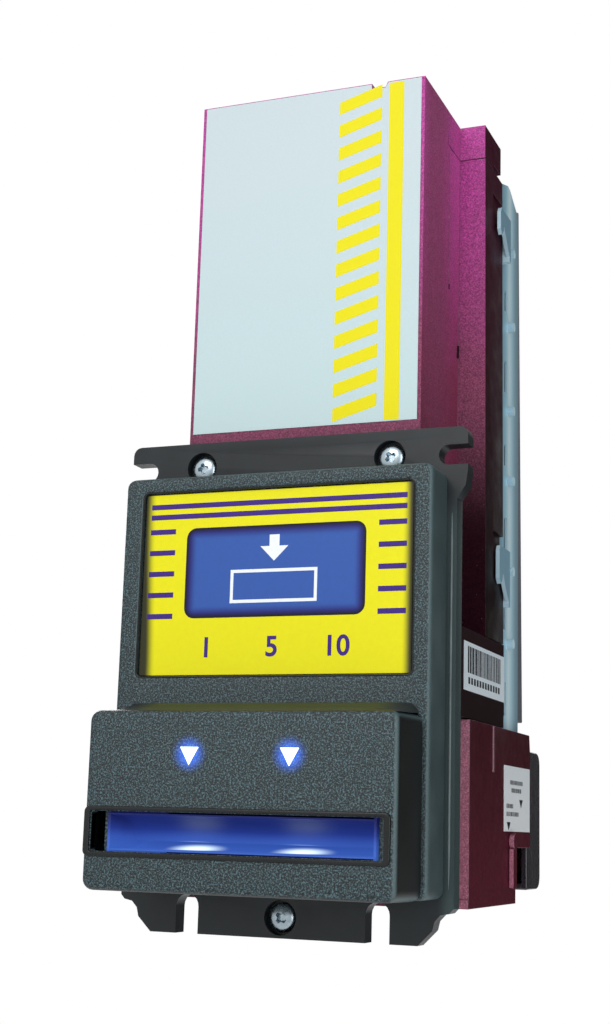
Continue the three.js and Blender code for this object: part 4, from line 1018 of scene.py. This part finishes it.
def cover_slot_shade_sheets():
    """Dark sheets behind the cover's side slots, painted shade that makes the slots read deep."""
    bm = bmesh.new()
    for z0, z1 in COVER_SLOTS:
        for side, _ in SIDES:
            pts = rounded_rect(72.05, 75.35, z0 + 0.05, z1 - 0.05, 0.3, 2)
            lofted(bm, [[bm.verts.new(at(side * x, y, z)) for y, z in pts] for x in (42.3, 42.6, 42.9)])
    adopt("cover_slot_shade_sheets", bm, SLOT_SHADE, "cover")


def flange_bead():
    """The raised bead along the flange's right edge, thinning out at both ends, coloured far paler than the
    flange as a painted highlight.
    """
    x, y, low, length, thick, steps = 47.5, 0.05, 16.0, 101.0, 0.34, 24
    bm = bmesh.new()
    lines = []
    for i in range(steps + 1):
        t = i / steps
        r = thick * min(1.0, (t * steps) / 2 + 0.2, (1 - t) * steps / 2 + 0.2)
        lines.append([bm.verts.new(at(x + r * math.cos(a), y - r * math.sin(a), low + length * t))
                      for a in (math.pi * k / 8 for k in range(9))])
    sheet_of(bm, lines)
    adopt("flange_bead", bm, BEAD_HIGHLIGHT_SKIN, "frame", angle=70)


def strip(name, path, thick, material):
    """A thin raised line on the magazine's side along (y, z) points, half round in section."""
    section = ((-1, 0), (-0.7, thick * 0.8), (0, thick * 1.1), (0.7, thick * 0.8), (1, 0))
    bm = bmesh.new()
    rings = []
    for i, p in enumerate(path):
        a, b = Vector(path[max(0, i - 1)]), Vector(path[min(len(path) - 1, i + 1)])
        d = (b - a).normalized()
        side = Vector((-d.y, d.x)) * thick
        rings.append([bm.verts.new(at(MAG["half"] - 0.1 + lift, p[0] + side.x * k, p[1] + side.y * k))
                      for k, lift in section])
    lofted(bm, rings)
    adopt(name, bm, material, "frame", angle=60)


def cover_rear_rail():
    """The cover's rear rail, deeper towards its foot."""
    x_in, x_out, front, foot, taper, steps = 0.0385, 0.0428, 90.3 * MM, 0.0083, 0.0058, 12
    low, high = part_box("rear_cover")
    bm = bmesh.new()
    lines = []
    for k in range(steps + 1):
        t = k / steps
        z = low.z + (high.z - low.z) * (0.02 + 0.96 * t)
        back = front + foot - taper * t
        profile = ((x_in, front), (x_out, front), (0.0434, front + 0.0006), (0.0430, back),
                   (0.0420, back + 0.0004), (x_in, back))
        lines.append([bm.verts.new((x, y, z)) for x, y in profile])
    lofted(bm, lines)
    bevelled(adopt("cover_rear_rail", bm, COVER_RAIL, "cover"), 0.3, 2)


cover_slot_shade_sheets()
flange_bead()
# The rib line and the corner line take the pale edge tone, part rubbed wear and part a painted edge
# highlight.
strip("shell_rib_line", [(31.9, 195.6), (31.7, 215.0), (31.4, 238.6)], 0.16, PURPLE_EDGE)
strip("lid_seam_line", [(31.4, 239.8), (34.0, 239.9), (43.2, 240.2)], 0.12, HEAD)
strip("shell_corner_line", [(43.3, 147.0), (43.3, 190.0), (43.3, 238.8)], 0.2, PURPLE_EDGE)
strip("shell_nick_low", [(32.2, 193.6), (32.4, 195.2)], 0.32, HEAD)
strip("shell_nick_high", [(41.9, 174.6), (42.4, 178.4)], 0.6, HEAD)
cover_rear_rail()

PLAIN = {
    "circuit_board": BOARD, "zinc_steel": STEEL, "gloss_black_plastic": GLOSS, "black_plastic": BLACK,
    "nylon": NYLON, "brass": BRASS, "rubber": RUBBER, "red_button": RED, "purple_plastic": PURPLE,
    "maroon_plastic": MAROON,
}
SLOT_OF = {s["node"]: s["material_slot"] for s in frame["record"]["subparts"]}
for node, obj in frame["nodes"].items():
    if obj.hide_render:
        continue
    obj.data.materials.clear()
    obj.data.materials.append(PLAIN[SLOT_OF[node]])
    bevelled(obj, 0.25, 2)

# ------------------------------------------------------------------ stage, light and camera
scene = bpy.context.scene
scene.view_settings.view_transform = "Standard"
scene.view_settings.look = "None"
VIEW = Vector((-0.3639, 0.9102, 0.1976)).normalized()


def studio_world():
    """White behind the object along the line of sight, soft grey above and in front, dim at the rear."""
    w = bpy.data.worlds.new("studio")
    scene.world = w
    w.use_nodes = True
    nt = w.node_tree
    coord = nt.nodes.new("ShaderNodeTexCoord")

    def along(direction, low, high, smooth=True):
        d = nt.nodes.new("ShaderNodeVectorMath")
        d.operation = "DOT_PRODUCT"
        nt.links.new(coord.outputs["Generated"], d.inputs[0])
        d.inputs[1].default_value = direction
        m = nt.nodes.new("ShaderNodeMapRange")
        m.interpolation_type = "SMOOTHSTEP" if smooth else "LINEAR"
        m.inputs["From Min"].default_value = low
        m.inputs["From Max"].default_value = high
        nt.links.new(d.outputs["Value"], m.inputs["Value"])
        return m.outputs["Result"]

    soft = nt.nodes.new("ShaderNodeValToRGB")
    nt.links.new(along(Vector((-0.35, -0.80, 0.48)), -1.0, 1.0, False), soft.inputs[0])
    stops = soft.color_ramp.elements
    for e, (where, tone) in zip([*stops, stops.new(0.3), stops.new(0.6)],
                                ((0.0, 0.05), (1.0, 0.54), (0.3, 0.09), (0.6, 0.32))):
        e.position = where
        e.color = (tone * 0.97, tone, tone * 1.02, 1.0)
    mix = nt.nodes.new("ShaderNodeMix")
    mix.data_type = "RGBA"
    nt.links.new(along(VIEW, 0.885, 0.930), mix.inputs["Factor"])
    nt.links.new(soft.outputs["Color"], mix.inputs[6])
    mix.inputs[7].default_value = (1.0, 1.0, 1.0, 1.0)
    nt.links.new(mix.outputs[2], nt.nodes["Background"].inputs["Color"])
    nt.nodes["Background"].inputs["Strength"].default_value = 1.0


studio_world()


def softbox(name, place, aim, size, power):
    data = bpy.data.lights.new(name, "AREA")
    data.shape = "RECTANGLE"
    data.size, data.size_y = size
    data.energy = power
    obj = bpy.data.objects.new(name, data)
    scene.collection.objects.link(obj)
    obj.location = place
    obj.rotation_euler = (Vector(aim) - Vector(place)).to_track_quat("-Z", "Y").to_euler()


softbox("key", (-0.12, -0.95, 0.50), (0, 0, -0.02), (0.5, 0.4), 3.0)
softbox("right_fill", (0.66, -0.62, 0.05), (0, 0, 0.0), (0.35, 0.6), 2.4)
softbox("top_strip", (-0.05, -0.10, 0.62), (0, 0.03, 0.1), (0.5, 0.25), 0.3)
softbox("rear_fill", (-0.60, 0.75, 0.35), (0.0, 0.05, 0.0), (0.5, 0.5), 4.0)


def studio_floor():
    """A round floor far enough below the object for its lower unit to drop."""
    radius, rings_count, sides, z = 1.6, 6, 64, -0.42
    bm = bmesh.new()
    rings = []
    for k in range(1, rings_count + 1):
        r = radius * k / rings_count
        rings.append([bm.verts.new((r * math.cos(a), r * math.sin(a), z))
                      for a in (2 * math.pi * i / sides for i in range(sides))])
    bm.faces.new(rings[0])
    for p, q in zip(rings, rings[1:]):
        loop_to(bm, p, q)
    mesh = bpy.data.meshes.new("floor")
    bm.to_mesh(mesh)
    bm.free()
    mesh.materials.append(FLOOR)
    floor = bpy.data.objects.new("floor", mesh)
    scene.collection.objects.link(floor)


def place_camera():
    """The photograph's view, with its own up direction."""
    lens = bpy.data.cameras.new("camera")
    lens.sensor_width = 36.0
    lens.sensor_fit = "AUTO"
    lens.lens = 55.55
    camera = bpy.data.objects.new("camera", lens)
    scene.collection.objects.link(camera)
    right = VIEW.cross(Vector((0.0466, -0.1941, 0.9799))).normalized()
    turn = Matrix((right, right.cross(VIEW), -VIEW)).transposed().to_4x4()
    camera.matrix_world = Matrix.Translation((0.168, -0.4104, -0.10335)) @ turn
    scene.camera = camera


studio_floor()
place_camera()
